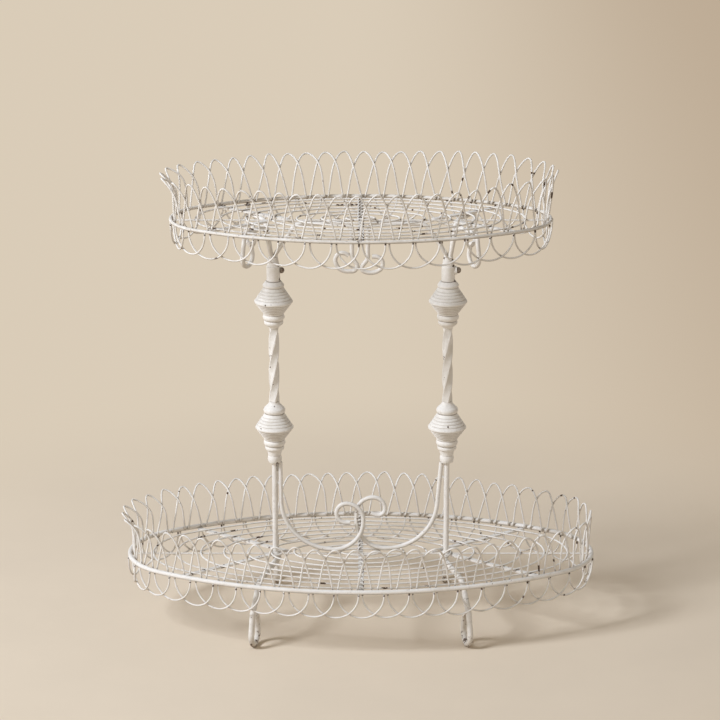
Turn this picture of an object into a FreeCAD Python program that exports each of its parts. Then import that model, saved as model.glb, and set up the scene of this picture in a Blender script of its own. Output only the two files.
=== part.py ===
import FreeCAD, Part
import math
import os
import re
import Sketcher

from FreeCAD import Placement, Rotation, Vector

# Two-tier oval wirework plant stand. X runs along the trays, Y to the back and Z up.
# The feet stand on Z = 0. Driving dimensions are in millimetres, angles in degrees.
SIZES = {
    # Lower tray
    "lower_half_length": 400,
    "lower_half_width": 200,
    "lower_end_radius": 120,
    "lower_rim_height": 116,
    "lower_rim_diameter": 8,
    "lower_hoop_count": 58,
    "lower_hoop_height": 73,
    "lower_hoop_flare": 44,
    "lower_hoop_lean": 2,
    "lower_hoop_leg_gap": 10.3,
    "lower_hoop_shift": -0.3,
    "lower_loop_count": 46,
    "lower_loop_depth": 48,
    "lower_ring_count": 9,
    "lower_inner_ring": 34,
    # Upper tray
    "upper_half_length": 320,
    "upper_half_width": 160,
    "upper_end_radius": 96,
    "upper_rim_diameter": 6,
    "upper_hoop_count": 48,
    "upper_hoop_height": 75,
    "upper_hoop_flare": 38,
    "upper_hoop_lean": 5,
    "upper_hoop_leg_gap": 6.5,
    "upper_hoop_shift": -0.16,
    "upper_loop_count": 35,
    "upper_loop_depth": 46.5,
    "upper_ring_count": 7,
    "upper_inner_ring": 24,
    # Wirework of both trays
    "wire_diameter": 3,
    "hoop_cross_height": 55,
    "hoop_bend_radius": 10,
    "loop_leg_gap": 6.5,
    "loop_tilt": 3.3,
    "weave_clearance": 0.6,
    "spine_width": 8,
    "bar_width": 9,
    "bar_thickness": 3,
    "spine_rod_diameter": 3,
    "bar_rim_angle": 36,
    "back_bar_lead": 17,
    "weld_gap": 0.15,
    "wire_clearance": 0.3,
    # Posts
    "post_spacing": 296,
    "post_rod_diameter": 9.5,
    "post_rod_length": 166.2,
    "base_plate_diameter": 24,
    "tenon_diameter": 9.5,
    "tenon_length": 12,
    "tenon_clearance": 0.2,
    "ferrule_diameter": 24,
    "ferrule_height": 13.3,
    "foot_ring_diameter": 25.6,
    "foot_ring_taper": 1.6,
    "foot_ring_height": 9,
    "neck_diameter": 33,
    "neck_height": 8.5,
    "ring_diameter": 37.4,
    "ring_height": 10.5,
    "waist_diameter": 34,
    "knob_diameter": 64.4,
    "knob_height": 47,
    "knob_land": 3,
    "knob_drop": 1.5,
    "groove_depth": 1.1,
    "groove_width": 2.2,
    "step_depth": 2,
    "step_width": 2.8,
    "dome_shoulder": 11,
    "dome_height": 21,
    "flare_height": 5.5,
    "collar_diameter": 36.4,
    "collar_top_diameter": 27,
    "collar_shoulder": 6.5,
    "collar_height": 10.4,
    "bar_side": 14,
    "bar_edge_break": 1.2,
    "bar_length": 131.3,
    "bar_start_angle": 55,
    "bar_twist": 227,
    "socket_diameter": 23,
    "socket_height": 27,
    "socket_floor": 3,
    "stem_diameter": 16,
    "stem_clearance": 0.3,
    "stem_length": 23,
    "cone_base_diameter": 21,
    "cone_top_diameter": 15.5,
    "cone_height": 15,
    "edge_break": 1,
    # Set screws
    "screw_drop": 8,
    "screw_diameter": 6,
    "screw_clearance": 0.1,
    "screw_head_diameter": 10.5,
    "screw_head_length": 7,
    "screw_dome": 4,
    "screw_slot_width": 1.6,
    "screw_slot_depth": 1.8,
    "screw_tip_break": 0.6,
    "boss_diameter": 15,
    "boss_height": 3,
    # Scroll braces
    "brace_diameter": 7.5,
    "brace_sweep_radius": 90,
    "brace_lean_radius": 40,
    "brace_post_gap": 0.8,
    "brace_crossing_gap": 0.8,
    # Legs with teardrop feet
    "leg_diameter": 10,
    "leg_bend_radius": 18,
    "leg_slope": 47,
    "knee_radius": 14,
    "knee_height": 58,
    "front_foot_reach": 154,
    "back_foot_reach": 160,
    "foot_radius": 20,
    "foot_lean": 15,
    "foot_return": 18,
    "foot_curl_radius": 9,
    "foot_curl_angle": 95,
    "foot_flat": 0.6,
    "leg_start": 2,
    "front_leg_splay": 14.5,
    "front_leg_shift": 6,
    "back_leg_splay": 1,
    "back_leg_shift": 0,
    # Arms of the upper tray
    "arm_diameter": 7.5,
    "arm_rise": 58.5,
    "arm_foot_run": 1,
    "arm_foot_radius": 12,
    "arm_bend_radius": 22,
    "arm_spread": 3.6,
    "arm_parting": 4,
    "inner_arm_lean": 33,
    "outer_arm_lean": 18,
    "outer_arm_splay": 30,
    "drop_reach": 85,
    "drop_bend_radius": 12,
    "drop_radius": 16,
    "drop_depth": 56,
    "drop_lean": 12,
    "drop_return": 12,
    "drop_curl_radius": 8,
    "drop_curl_angle": 90,
    "left_curl_offset": 15,
    "right_curl_offset": 12,
    "curl_bend_radius": 15,
}

SIDES = (("left", -1), ("right", 1))
ENDS = (("front", -1), ("back", 1))
# Shares of a cone's height at which its grooves and steps start, from the waist
CONE_GROOVES = (0.2, 0.4, 0.6, 0.8)
CONE_STEPS = (0.1, 0.28, 0.46, 0.64, 0.82)
# Shares of the widening and of the height, along a hollow flare from its wide end to its slim one
FLARE = ((0.61, 0.3), (0.27, 0.54), (0.07, 0.79), (0, 1))
# Scrolls bent by hand, each a little different.
# A number is a straight run, and a pair is a bend's radius and angle.
BRACE_SCROLLS = {
    "left": ((52, 90), 3, (29, 90), (17.5, 90), (17.5, 95), 5),
    "right": ((50, 90), 14, (29, 90), (20.5, 90), (12, 110), 9),
}
BRACE_LEANS = {"left": 1, "right": 5}
ARM_CURLS = {
    "left": (35, (29, 40), (9, -130), 8, (20, -90), (12, -90), (14, -50)),
    "right": (42, (15, 40), 8, (7, -105), (26, -60), (13, -145), 5),
}

doc = FreeCAD.newDocument("plant_stand")
sheet = doc.addObject("Spreadsheet::Sheet", "Sizes")
for row, (alias, value) in enumerate(SIZES.items(), start=1):
    sheet.set(f"A{row}", str(value))
    sheet.setAlias(f"A{row}", alias)
doc.recompute()

subparts = []


def size(alias):
    return float(sheet.get(alias))


def radius(alias):
    return size(alias) / 2


def bound(text):
    """Return an expression in which every name is an alias of the size sheet."""
    return re.sub(r"[a-z]\w+", lambda name: "Sizes." + name.group(), text)


def place(obj, **offsets):
    """Bind the coordinates of an object's place to expressions of the size sheet."""
    for axis, text in offsets.items():
        obj.setExpression(f"Placement.Base.{axis}", bound(text))


def keep(obj):
    subparts.append(obj)
    return obj


# Levels of the stack, from the floor wires up to the upper rim

wire_radius = radius("wire_diameter")
gap = size("weld_gap")
lower_level = size("lower_rim_height")
post_x = size("post_spacing") / 2
PLATE_TOP = "lower_rim_height - wire_diameter / 2 - weld_gap"
FERRULE_BASE = PLATE_TOP + " + post_rod_length"
LOWER_KNOB_BASE = FERRULE_BASE + " + ferrule_height"
KNOB_BODY = "neck_height + ring_height + knob_height"
BAR_BASE = LOWER_KNOB_BASE + " + foot_ring_height + " + KNOB_BODY + " + dome_height"
UPPER_KNOB_BASE = BAR_BASE + " + bar_length"
SOCKET_BASE = UPPER_KNOB_BASE + " + flare_height + " + KNOB_BODY + " + collar_height"
CONE_BASE = SOCKET_BASE + " + socket_height"
CONE_TOP = CONE_BASE + " + cone_height"


def level(text):
    return float(sheet.evalExpression(bound(text)))


plate_top = level(PLATE_TOP)
cone_top = level(CONE_TOP)
arm_level = cone_top + size("arm_rise")
upper_level = arm_level + radius("arm_diameter") + 2 * gap + size("bar_thickness") + wire_radius


# Bent rods and wires: straight runs joined by tangent arcs

class RodPath:
    """A path in one upright plane: heading 0 is forward, 90 is up, and positive bends turn upwards."""

    def __init__(self, start, forward, heading):
        self.point = start
        self.forward = forward
        self.heading = heading
        self.edges = []

    def direction(self, angle):
        turn = math.radians(angle)
        return self.forward * math.cos(turn) + Vector(0, 0, math.sin(turn))

    def run(self, length):
        if length > 0:
            end = self.point + self.direction(self.heading) * length
            self.edges.append(Part.LineSegment(self.point, end).toShape())
            self.point = end
        return self

    def bend(self, bend_radius, angle):
        side = math.copysign(90, angle)
        centre = self.point + self.direction(self.heading + side) * bend_radius
        middle = centre - self.direction(self.heading + angle / 2 + side) * bend_radius
        end = centre - self.direction(self.heading + angle + side) * bend_radius
        self.edges.append(Part.Arc(self.point, middle, end).toShape())
        self.point = end
        self.heading += angle
        return self


def rounded_path(points, radii):
    """Join points by straight runs, with a tangent arc of its own radius at each inner point."""
    edges = []
    start = points[0]
    for before, corner, after, bend_radius in zip(points, points[1:], points[2:], radii):
        back = (before - corner).normalize()
        on = (after - corner).normalize()
        half = back.getAngle(on) / 2
        reach = bend_radius / math.tan(half)
        middle = (back + on).normalize() * (bend_radius / math.sin(half) - bend_radius)
        bend_start = corner + back * reach
        bend_end = corner + on * reach
        edges.append(Part.LineSegment(start, bend_start).toShape())
        edges.append(Part.Arc(bend_start, corner + middle, bend_end).toShape())
        start = bend_end
    edges.append(Part.LineSegment(start, points[-1]).toShape())
    return edges


def rod(edges, diameter):
    first = edges[0]
    begin = first.FirstParameter
    section = Part.makeCircle(diameter / 2, first.valueAt(begin), first.tangentAt(begin))
    return Part.Wire(edges).makePipe(Part.Face(Part.Wire(section)))


def wirework(label, shape):
    """Add a bent piece, or a group of like bent pieces, under its own label."""
    feature = doc.addObject("Part::Feature", label)
    feature.Label = label
    feature.Shape = shape
    return keep(feature)


# Oval of two end arcs and two side arcs that meet tangentially

class Oval:
    def __init__(self, half_length, half_width, end_radius):
        self.half_length = half_length
        self.half_width = half_width
        self.end_radius = end_radius
        self.end_centre = half_length - end_radius
        self.side_radius = (self.end_centre ** 2 + half_width ** 2 - end_radius ** 2) / (
            2 * (half_width - end_radius))
        self.side_centre = self.side_radius - half_width
        self.end_angle = math.atan2(self.side_centre, self.end_centre)
        self.side_angle = math.pi / 2 - self.end_angle
        # Half the end arc, half the side arc, and so on round, as centre, radius and half its angle
        self.arcs = (
            (Vector(self.end_centre, 0, 0), end_radius, self.end_angle, 0),
            (Vector(0, -self.side_centre, 0), self.side_radius, self.side_angle, math.pi / 2),
            (Vector(-self.end_centre, 0, 0), end_radius, self.end_angle, math.pi),
            (Vector(0, self.side_centre, 0), self.side_radius, self.side_angle, 3 * math.pi / 2),
        )
        self.perimeter = sum(2 * arc[1] * arc[2] for arc in self.arcs)

    def scaled(self, share):
        return Oval(self.half_length * share, self.half_width * share, self.end_radius * share)

    def at(self, distance, offset, height):
        """Point at a distance along the oval from its right-hand end, moved outwards by the offset."""
        centre, arc_radius, half, middle = self.arcs[0]
        along = (distance + arc_radius * half) % self.perimeter
        for centre, arc_radius, half, middle in self.arcs:
            length = 2 * arc_radius * half
            if along <= length:
                break
            along -= length
        angle = middle - half + along / arc_radius
        outward = Vector(math.cos(angle), math.sin(angle), 0)
        return centre + outward * (arc_radius + offset) + Vector(0, 0, height)

    def outside(self, point):
        """Signed distance of a point from the oval in plan, positive outside."""
        across = Vector(abs(point.x), abs(point.y), 0)
        from_end = across - Vector(self.end_centre, 0, 0)
        if math.atan2(from_end.y, from_end.x) < self.end_angle and from_end.x > 0:
            return from_end.Length - self.end_radius
        return (across + Vector(0, self.side_centre, 0)).Length - self.side_radius

    def reach(self, start, direction, offset):
        """Length of a ray from inside the oval to the curve that lies offset inside the oval."""
        near, far = 0, 2 * self.half_length
        while far - near > 1e-6:
            middle = (near + far) / 2
            if self.outside(start + direction * middle) < -offset:
                near = middle
            else:
                far = middle
        return near

    def edges(self, height):
        lift = Vector(0, 0, height)
        arcs = []
        for centre, arc_radius, half, middle in self.arcs:
            points = []
            for angle in (middle - half, middle, middle + half):
                points.append(centre + lift + Vector(math.cos(angle), math.sin(angle), 0) * arc_radius)
            arcs.append(Part.Arc(*points).toShape())
        return arcs


# Trays: rim, floor, fence of hoops and skirt of loops

def floor_rings(oval, height, count, inner):
    """Like ovals at even steps from the inner one out to the rim."""
    rings = []
    for number in range(count):
        half_length = inner + (oval.half_length - inner) * number / count
        ring = oval.scaled(half_length / oval.half_length)
        rings.append(rod(ring.edges(height), size("wire_diameter")))
    return Part.makeCompound(rings)


def hoop(tier, oval, height, rim_radius, pitch, place_on_rim):
    """One fence wire: slanting legs inside the rim that cross their neighbours, and a flared round top."""
    lean = size(f"{tier}_hoop_lean")
    inset = -(rim_radius + wire_radius + size("wire_clearance"))
    weave = wire_radius + size("weave_clearance")
    half_span = pitch - size(f"{tier}_hoop_leg_gap") / 2
    foot = height - rim_radius / 4
    cross = height + size("hoop_cross_height")
    flare = math.radians(size(f"{tier}_hoop_flare"))
    slope = (half_span - pitch / 2) / (cross - foot)
    upper_run = pitch / 2 / slope
    top_run = (size(f"{tier}_hoop_height") - size("hoop_cross_height")) / math.cos(flare)
    top_radius = (upper_run - top_run) / (math.hypot(1, slope) / slope - 1)
    peak_offset = inset + lean + upper_run * math.sin(flare)
    peak_height = cross + upper_run * math.cos(flare)
    points = [
        oval.at(place_on_rim - half_span, inset, foot),
        oval.at(place_on_rim - pitch / 2, inset + lean - weave, cross),
        oval.at(place_on_rim, peak_offset, peak_height),
        oval.at(place_on_rim + pitch / 2, inset + lean + weave, cross),
        oval.at(place_on_rim + half_span, inset, foot),
    ]
    bend = size("hoop_bend_radius")
    return rod(rounded_path(points, (bend, top_radius, bend)), size("wire_diameter"))


def chord_depth(oval, middle, half_span, along):
    """How far inside the oval a straight chord lies, at a distance along it from its middle."""
    start = oval.at(middle - half_span, 0, 0)
    end = oval.at(middle + half_span, 0, 0)
    return -oval.outside(start + (end - start) * (0.5 + along / half_span / 2))


def crossing_side(oval, crossing, pitch, half_span):
    """1 where the earlier of two crossing loops passes outside, -1 where a tighter bend keeps it inside."""
    earlier = chord_depth(oval, crossing - pitch / 2, half_span, pitch / 2)
    later = chord_depth(oval, crossing + pitch / 2, half_span, -pitch / 2)
    return -1 if earlier > later + size("weave_clearance") else 1


def skirt_loop(tier, oval, height, rim_radius, pitch, place_on_rim):
    """One hanging wire: a round loop whose right leg passes outside its neighbour's left leg."""
    half_span = pitch - size("loop_leg_gap") / 2
    tilt = size("loop_tilt")
    top = height - math.sqrt(rim_radius ** 2 - (tilt - wire_radius) ** 2) - gap
    inner = tilt * crossing_side(oval, place_on_rim - pitch / 2, pitch, half_span)
    outer = tilt * crossing_side(oval, place_on_rim + pitch / 2, pitch, half_span)
    left = oval.at(place_on_rim - half_span, -inner, top)
    right = oval.at(place_on_rim + half_span, outer, top)
    bottom = (left + right) / 2
    bottom.z = height - size(f"{tier}_loop_depth") + wire_radius
    return rod([Part.Arc(left, bottom, right).toShape()], size("wire_diameter"))


def around(tier, make, count, shift, oval, height):
    """Repeat a wire evenly round the rim, counted from the middle of the front."""
    pitch = oval.perimeter / count
    front = oval.perimeter * 0.75
    rim_radius = radius(f"{tier}_rim_diameter")
    wires = []
    for number in range(count):
        wires.append(make(tier, oval, height, rim_radius, pitch, front + pitch * (number + shift)))
    return Part.makeCompound(wires)


def flat_bar(start, direction, length, top):
    """A flat bar lying under the floor wires, from its start along a level direction."""
    box = doc.addObject("Part::Box", "flat_bar")
    box.setExpression("Width", bound("bar_width"))
    box.setExpression("Height", bound("bar_thickness"))
    box.Length = length
    turn = Rotation(Vector(1, 0, 0), direction)
    corner = turn.multVec(Vector(0, -size("bar_width") / 2, 0))
    box.Placement = Placement(start + corner + Vector(0, 0, top - size("bar_thickness")), turn)
    return box


def group(label, members):
    compound = doc.addObject("Part::Compound", label)
    compound.Label = label
    compound.Links = members
    return keep(compound)


def spine_rod(start_x, end_x, height):
    piece = doc.addObject("Part::Cylinder", "spine_rod")
    piece.setExpression("Radius", bound("spine_rod_diameter / 2"))
    piece.Height = end_x - start_x
    piece.Placement = Placement(Vector(start_x, 0, height), Rotation(Vector(0, 0, 1), Vector(1, 0, 0)))
    return piece


def tray_bars(tier, oval, height, rim_radius):
    """The spines and diagonal bars that carry the floor wires; the lower ones stop at the base plates."""
    seat = radius("base_plate_diameter") + gap
    top = height - wire_radius - gap
    rod_height = top - radius("spine_rod_diameter")
    rim_inset = rim_radius + gap

    spine = doc.addObject("Part::Box", f"{tier}_cross_spine")
    spine.Label = f"{tier}_cross_spine"
    spine.setExpression("Length", bound("spine_width"))
    spine_end = f"({tier}_half_width - loop_tilt - wire_diameter / 2 - weld_gap)"
    spine.setExpression("Width", bound(f"2 * {spine_end}"))
    spine.setExpression("Height", bound("bar_thickness"))
    place(spine, x="-spine_width / 2", y=f"-{spine_end}")
    spine.Placement.Base.z = top - size("bar_thickness")
    keep(spine)

    rods = []
    front_bars = []
    back_bars = []
    for side, sign in SIDES:
        stops = [size("spine_width") / 2 + gap, oval.half_length - rim_inset]
        if tier == "lower":
            stops[1:1] = [post_x - seat, post_x + seat]
        for inner, outer in zip(stops[::2], stops[1::2]):
            rods.append(spine_rod(*sorted((sign * inner, sign * outer)), rod_height))

        angle = math.radians(size("bar_rim_angle"))
        outward = Vector(sign * math.cos(angle), -math.sin(angle), 0)
        start = Vector(sign * post_x, 0, 0) + outward * seat
        front_bars.append(flat_bar(start, outward, bar_length(oval, start, outward, rim_inset), top))

        backward = Vector(outward.x, -outward.y, 0)
        aside = backward.cross(Vector(0, 0, -sign)) * (seat + size("bar_width"))
        start = Vector(sign * post_x, 0, 0) + aside - backward * size("back_bar_lead")
        back_bars.append(flat_bar(start, backward, bar_length(oval, start, backward, rim_inset), top))
    group(f"{tier}_long_spine", rods)
    group(f"{tier}_front_bars", front_bars)
    group(f"{tier}_back_bars", back_bars)


def bar_length(oval, start, direction, rim_inset):
    """Length that brings both corners of a square bar end up to the rim without reaching past it."""
    across = direction.cross(Vector(0, 0, 1)) * radius("bar_width")
    return min(oval.reach(corner, direction, rim_inset) for corner in (start + across, start - across))


def tray(tier, oval, height):
    rings = int(size(f"{tier}_ring_count"))
    hoops = int(size(f"{tier}_hoop_count"))
    loops = int(size(f"{tier}_loop_count"))
    shift = size(f"{tier}_hoop_shift")
    wirework(f"{tier}_rim", rod(oval.edges(height), size(f"{tier}_rim_diameter")))
    wirework(f"{tier}_floor_rings", floor_rings(oval, height, rings, size(f"{tier}_inner_ring")))
    tray_bars(tier, oval, height, radius(f"{tier}_rim_diameter"))
    wirework(f"{tier}_gallery_hoops", around(tier, hoop, hoops, shift, oval, height))
    wirework(f"{tier}_skirt_loops", around(tier, skirt_loop, loops, 0, oval, height))


# Turned pieces: bodies revolved from dimensioned outlines

def origin_plane(body, role):
    return next(plane for plane in body.Origin.OriginFeatures if plane.Role == role)


def new_body(label):
    body = doc.addObject("PartDesign::Body", label)
    body.Label = label
    return keep(body)


def new_sketch(body, name, role):
    sketch = body.newObject("Sketcher::SketchObject", name)
    sketch.AttachmentSupport = [(origin_plane(body, role), "")]
    sketch.MapMode = "FlatFace"
    return sketch


def dimension(sketch, kind, *items, text):
    index = sketch.addConstraint(Sketcher.Constraint(kind, *items))
    sketch.setExpression(f"Constraints[{index}]", bound(text))


def outward_arc(start, end, arc_radius):
    """The shorter arc from start to end that swells to the right of the way between them."""
    half = (end - start) / 2
    inward = Vector(-half.y, half.x, 0).normalize()
    centre = start + half + inward * math.sqrt(arc_radius ** 2 - half.Length ** 2)
    first = math.atan2(start.y - centre.y, start.x - centre.x)
    last = math.atan2(end.y - centre.y, end.x - centre.x)
    if last < first:
        last += 2 * math.pi
    return Part.ArcOfCircle(Part.Circle(centre, Vector(0, 0, 1), arc_radius), first, last)


def outline(sketch, corners):
    """Draw a closed outline through bound corners; a third value is the radius of a round side after it."""
    points = [Vector(level(corner[0]), level(corner[1]), 0) for corner in corners]
    following = points[1:] + points[:1]
    for corner, start, end in zip(corners, points, following):
        if len(corner) == 3:
            sketch.addGeometry(outward_arc(start, end, level(corner[2])))
        else:
            sketch.addGeometry(Part.LineSegment(start, end))
    for number, corner in enumerate(corners):
        sketch.addConstraint(Sketcher.Constraint("Coincident", number, 2, (number + 1) % len(corners), 1))
        dimension(sketch, "DistanceX", -1, 1, number, 1, points[number].x, text=corner[0])
        dimension(sketch, "DistanceY", -1, 1, number, 1, points[number].y, text=corner[1])
        if len(corner) == 3:
            dimension(sketch, "Radius", number, level(corner[2]), text=corner[2])


def turned(label, corners, axis="V_Axis"):
    body = new_body(label)
    sketch = new_sketch(body, label + "_outline", "XZ_Plane")
    outline(sketch, corners)
    turning = body.newObject("PartDesign::Revolution", label + "_turning")
    turning.Profile = sketch
    turning.ReferenceAxis = (sketch, [axis])
    return body


def bulge(text_radius, base, height, curve=0.6):
    """Two corners joined by a wall that swells to the given radius halfway up; a larger curve is flatter."""
    swell = curve - math.sqrt(curve ** 2 - 0.25)
    wall = f"{text_radius} - {swell:.4f} * {height}"
    return [(wall, base, f"{curve} * {height}"), (wall, f"{base} + {height}")]


def plain_ring(text_radius, base, height):
    """Corners of a straight ring with both outer edges broken."""
    inner = f"{text_radius} - edge_break"
    top = f"{base} + {height}"
    return [(inner, base), (text_radius, f"{base} + edge_break"),
            (text_radius, f"{top} - edge_break"), (inner, top)]


def double_cone(base):
    """Corners of the knob: a stepped cone out to a narrow round land, and a taller grooved cone back in."""
    half = "(knob_height - knob_land) / 2"
    stepped = fluted_cone(f"({half} - knob_drop)", CONE_STEPS, "step_depth", "step_width")
    grooved = fluted_cone(f"({half} + knob_drop)", CONE_GROOVES, "groove_depth", "groove_width")
    lower = [(out, f"{base} + {up}") for out, up in stepped]
    upper = [(out, f"{base} + knob_height - ({up})") for out, up in grooved]
    lower[-1] += ("0.75 * knob_land",)
    return lower + upper[::-1]


def fluted_cone(height, shares, depth, width):
    """Radius and height of each corner of a fluted cone, from the waist out to the knob's edge."""
    flare = "(knob_diameter - waist_diameter) / 2"
    corners = [("waist_diameter / 2", "0")]
    for share in shares:
        out = f"waist_diameter / 2 + {share} * {flare}"
        up = f"{share} * {height}"
        corners.append((out, up))
        corners.append((f"{out} - {depth} / 3", f"{up} + {depth}"))
        corners.append((f"{out} + {width} * {flare} / {height}", f"{up} + {width}"))
    corners.append(("knob_diameter / 2", height))
    return corners


def trumpet(wide, height):
    """Radius and height of each corner of a hollow flare, from below its wide end up to a bar's end."""
    slim = "0.62 * bar_side"
    return [(f"{slim} + {share} * ({wide} - {slim})", f"{up} * {height}") for share, up in FLARE]


def bored(corners, height):
    """Close an outer wall along the axis, with a blind hole for a tenon in each end."""
    hole = "tenon_diameter / 2 + tenon_clearance"
    depth = "(tenon_length + 2 * tenon_clearance)"
    ceiling = f"{height} - {depth}"
    return [(hole, "0")] + corners + [
        (hole, height), (hole, ceiling), ("0", ceiling), ("0", depth), (hole, depth)]


def lower_knob(side, sign):
    neck = "foot_ring_height"
    ring = neck + " + neck_height"
    cone = ring + " + ring_height"
    dome = cone + " + knob_height"
    top = dome + " + dome_height"
    corners = [
        ("foot_ring_diameter / 2 - foot_ring_taper", "0"), ("foot_ring_diameter / 2", "foot_ring_height")]
    corners += bulge("neck_diameter / 2", neck, "neck_height")
    corners += bulge("ring_diameter / 2", ring, "ring_height")
    corners += double_cone(cone)
    shoulder = bulge("ring_diameter / 2", dome, "dome_shoulder")
    for out, up in trumpet(shoulder[0][0], "(dome_height - dome_shoulder)"):
        shoulder.append((out, f"{dome} + dome_shoulder + {up}"))
    corners += shoulder
    body = turned(f"{side}_lower_knob", bored(corners, top))
    place(body, x=f"{sign} * post_spacing / 2", z=LOWER_KNOB_BASE)


def upper_knob(side, sign):
    neck = "flare_height"
    ring = neck + " + neck_height"
    cone = ring + " + ring_height"
    collar = cone + " + knob_height"
    top = collar + " + collar_height"
    wall = bulge("neck_diameter / 2", neck, "neck_height")
    corners = [(out, f"flare_height - {up}") for out, up in reversed(trumpet(wall[0][0], "flare_height"))]
    corners += wall
    corners += bulge("ring_diameter / 2", ring, "ring_height")
    corners += double_cone(cone)
    corners += bulge("collar_diameter / 2", collar, "collar_shoulder")
    corners.append(("collar_top_diameter / 2", top))
    body = turned(f"{side}_upper_knob", bored(corners, top))
    place(body, x=f"{sign} * post_spacing / 2", z=UPPER_KNOB_BASE)


def ferrule(side, sign):
    hole = "post_rod_diameter / 2 + tenon_clearance"
    corners = bulge("ferrule_diameter / 2", "0", "ferrule_height", curve=1.2)
    body = turned(f"{side}_ferrule", [(hole, "0")] + corners + [(hole, "ferrule_height")])
    place(body, x=f"{sign} * post_spacing / 2", z=FERRULE_BASE)


def stem(side, sign):
    """The plug that drops into the socket, and the cone above it that carries the arms."""
    corners = [
        ("0", "-stem_length"), ("stem_diameter / 2 - edge_break", "-stem_length"),
        ("stem_diameter / 2", "edge_break - stem_length"), ("stem_diameter / 2", "0"),
        ("cone_base_diameter / 2", "0"), ("cone_base_diameter / 2", "edge_break"),
        ("cone_top_diameter / 2", "cone_height"), ("0", "cone_height")]
    body = turned(f"{side}_stem", corners)
    place(body, x=f"{sign} * post_spacing / 2", z=CONE_BASE)


def round_sketch(body, name, role, text_radius, up="0"):
    """A circle on one of the body's own planes, raised along that plane's upright axis."""
    sketch = new_sketch(body, name, role)
    sketch.addGeometry(Part.Circle(Vector(0, level(up), 0), Vector(0, 0, 1), level(text_radius)))
    sketch.addConstraint(Sketcher.Constraint("PointOnObject", 0, 3, -2))
    dimension(sketch, "Radius", 0, level(text_radius), text=text_radius)
    if up == "0":
        sketch.addConstraint(Sketcher.Constraint("PointOnObject", 0, 3, -1))
    else:
        dimension(sketch, "DistanceY", -1, 1, 0, 3, level(up), text=up)
    return sketch


def extruded(body, kind, name, sketch, length, backwards=False):
    feature = body.newObject(f"PartDesign::{kind}", name)
    feature.Profile = sketch
    feature.Reversed = backwards
    feature.setExpression("Length", bound(length))
    return feature


def base_plate(side, sign):
    label = f"{side}_base_plate"
    body = new_body(label)
    disc = round_sketch(body, label + "_disc", "XY_Plane", "base_plate_diameter / 2")
    extruded(body, "Pad", label + "_pad", disc, "bar_thickness")
    place(body, x=f"{sign} * post_spacing / 2", z=PLATE_TOP + " - bar_thickness")


def post_rod(side, sign):
    """The plain rod from the base plate up through the ferrule into the knob."""
    piece = doc.addObject("Part::Cylinder", f"{side}_post_rod")
    piece.Label = f"{side}_post_rod"
    piece.setExpression("Radius", bound("post_rod_diameter / 2"))
    piece.setExpression("Height", bound("post_rod_length + ferrule_height + tenon_length"))
    place(piece, x=f"{sign} * post_spacing / 2", z=PLATE_TOP)
    keep(piece)


def twisted_bar(side, sign):
    """A square bar with broken edges and an even twist, and a round tenon at each end."""
    label = f"{side}_twisted_bar"
    body = new_body(label)
    steps = 9
    squares = []
    half = "bar_side / 2"
    short = "(bar_side / 2 - bar_edge_break)"
    corners = [
        (f"-{short}", f"-{half}"), (short, f"-{half}"), (half, f"-{short}"), (half, short),
        (short, half), (f"-{short}", half), (f"-{half}", short), (f"-{half}", f"-{short}")]
    for number in range(steps + 1):
        square = new_sketch(body, f"{label}_square_{number}", "XY_Plane")
        square.AttachmentOffset = Placement(Vector(), Rotation(Vector(0, 0, 1), 0))
        outline(square, corners)
        square.setExpression("AttachmentOffset.Base.z", bound(f"bar_length * {number} / {steps}"))
        turn = f"bar_start_angle + bar_twist * {number} / {steps}"
        square.setExpression("AttachmentOffset.Rotation.Angle", bound(turn))
        squares.append(square)
    doc.recompute()
    loft = body.newObject("PartDesign::AdditiveLoft", label + "_twist")
    loft.Profile = squares[0]
    loft.Sections = squares[1:]
    foot = round_sketch(body, label + "_foot_circle", "XY_Plane", "tenon_diameter / 2")
    extruded(body, "Pad", label + "_foot_tenon", foot, "tenon_length", backwards=True)
    head = round_sketch(body, label + "_head_circle", "XY_Plane", "tenon_diameter / 2")
    head.setExpression("AttachmentOffset.Base.z", bound("bar_length"))
    extruded(body, "Pad", label + "_head_tenon", head, "tenon_length")
    place(body, x=f"{sign} * post_spacing / 2", z=BAR_BASE)


def socket(side, sign):
    """The cup on the upper knob that takes the stem, with a cross hole for its screw."""
    label = f"{side}_socket"
    wall = plain_ring("socket_diameter / 2", "0", "socket_height")
    tenon = [("0", "-tenon_length"), ("tenon_diameter / 2", "-tenon_length"), ("tenon_diameter / 2", "0")]
    body = turned(label, tenon + wall + [("0", "socket_height")])
    screw_up = "socket_height - screw_drop"
    if side == "right":
        boss = round_sketch(body, label + "_boss_circle", "YZ_Plane", "boss_diameter / 2", screw_up)
        extruded(body, "Pad", label + "_boss", boss, "socket_diameter / 2 + boss_height")
    mouth_radius = "stem_diameter / 2 + stem_clearance"
    mouth = round_sketch(body, label + "_mouth_circle", "XY_Plane", mouth_radius)
    mouth.setExpression("AttachmentOffset.Base.z", bound("socket_height"))
    extruded(body, "Pocket", label + "_mouth", mouth, "socket_height - socket_floor")
    hole_radius = "screw_diameter / 2 + screw_clearance"
    hole = round_sketch(body, label + "_hole_circle", "YZ_Plane", hole_radius, screw_up)
    extruded(body, "Pocket", label + "_hole", hole, "socket_diameter", backwards=True)
    place(body, x=f"{sign} * post_spacing / 2", z=SOCKET_BASE)


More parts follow.
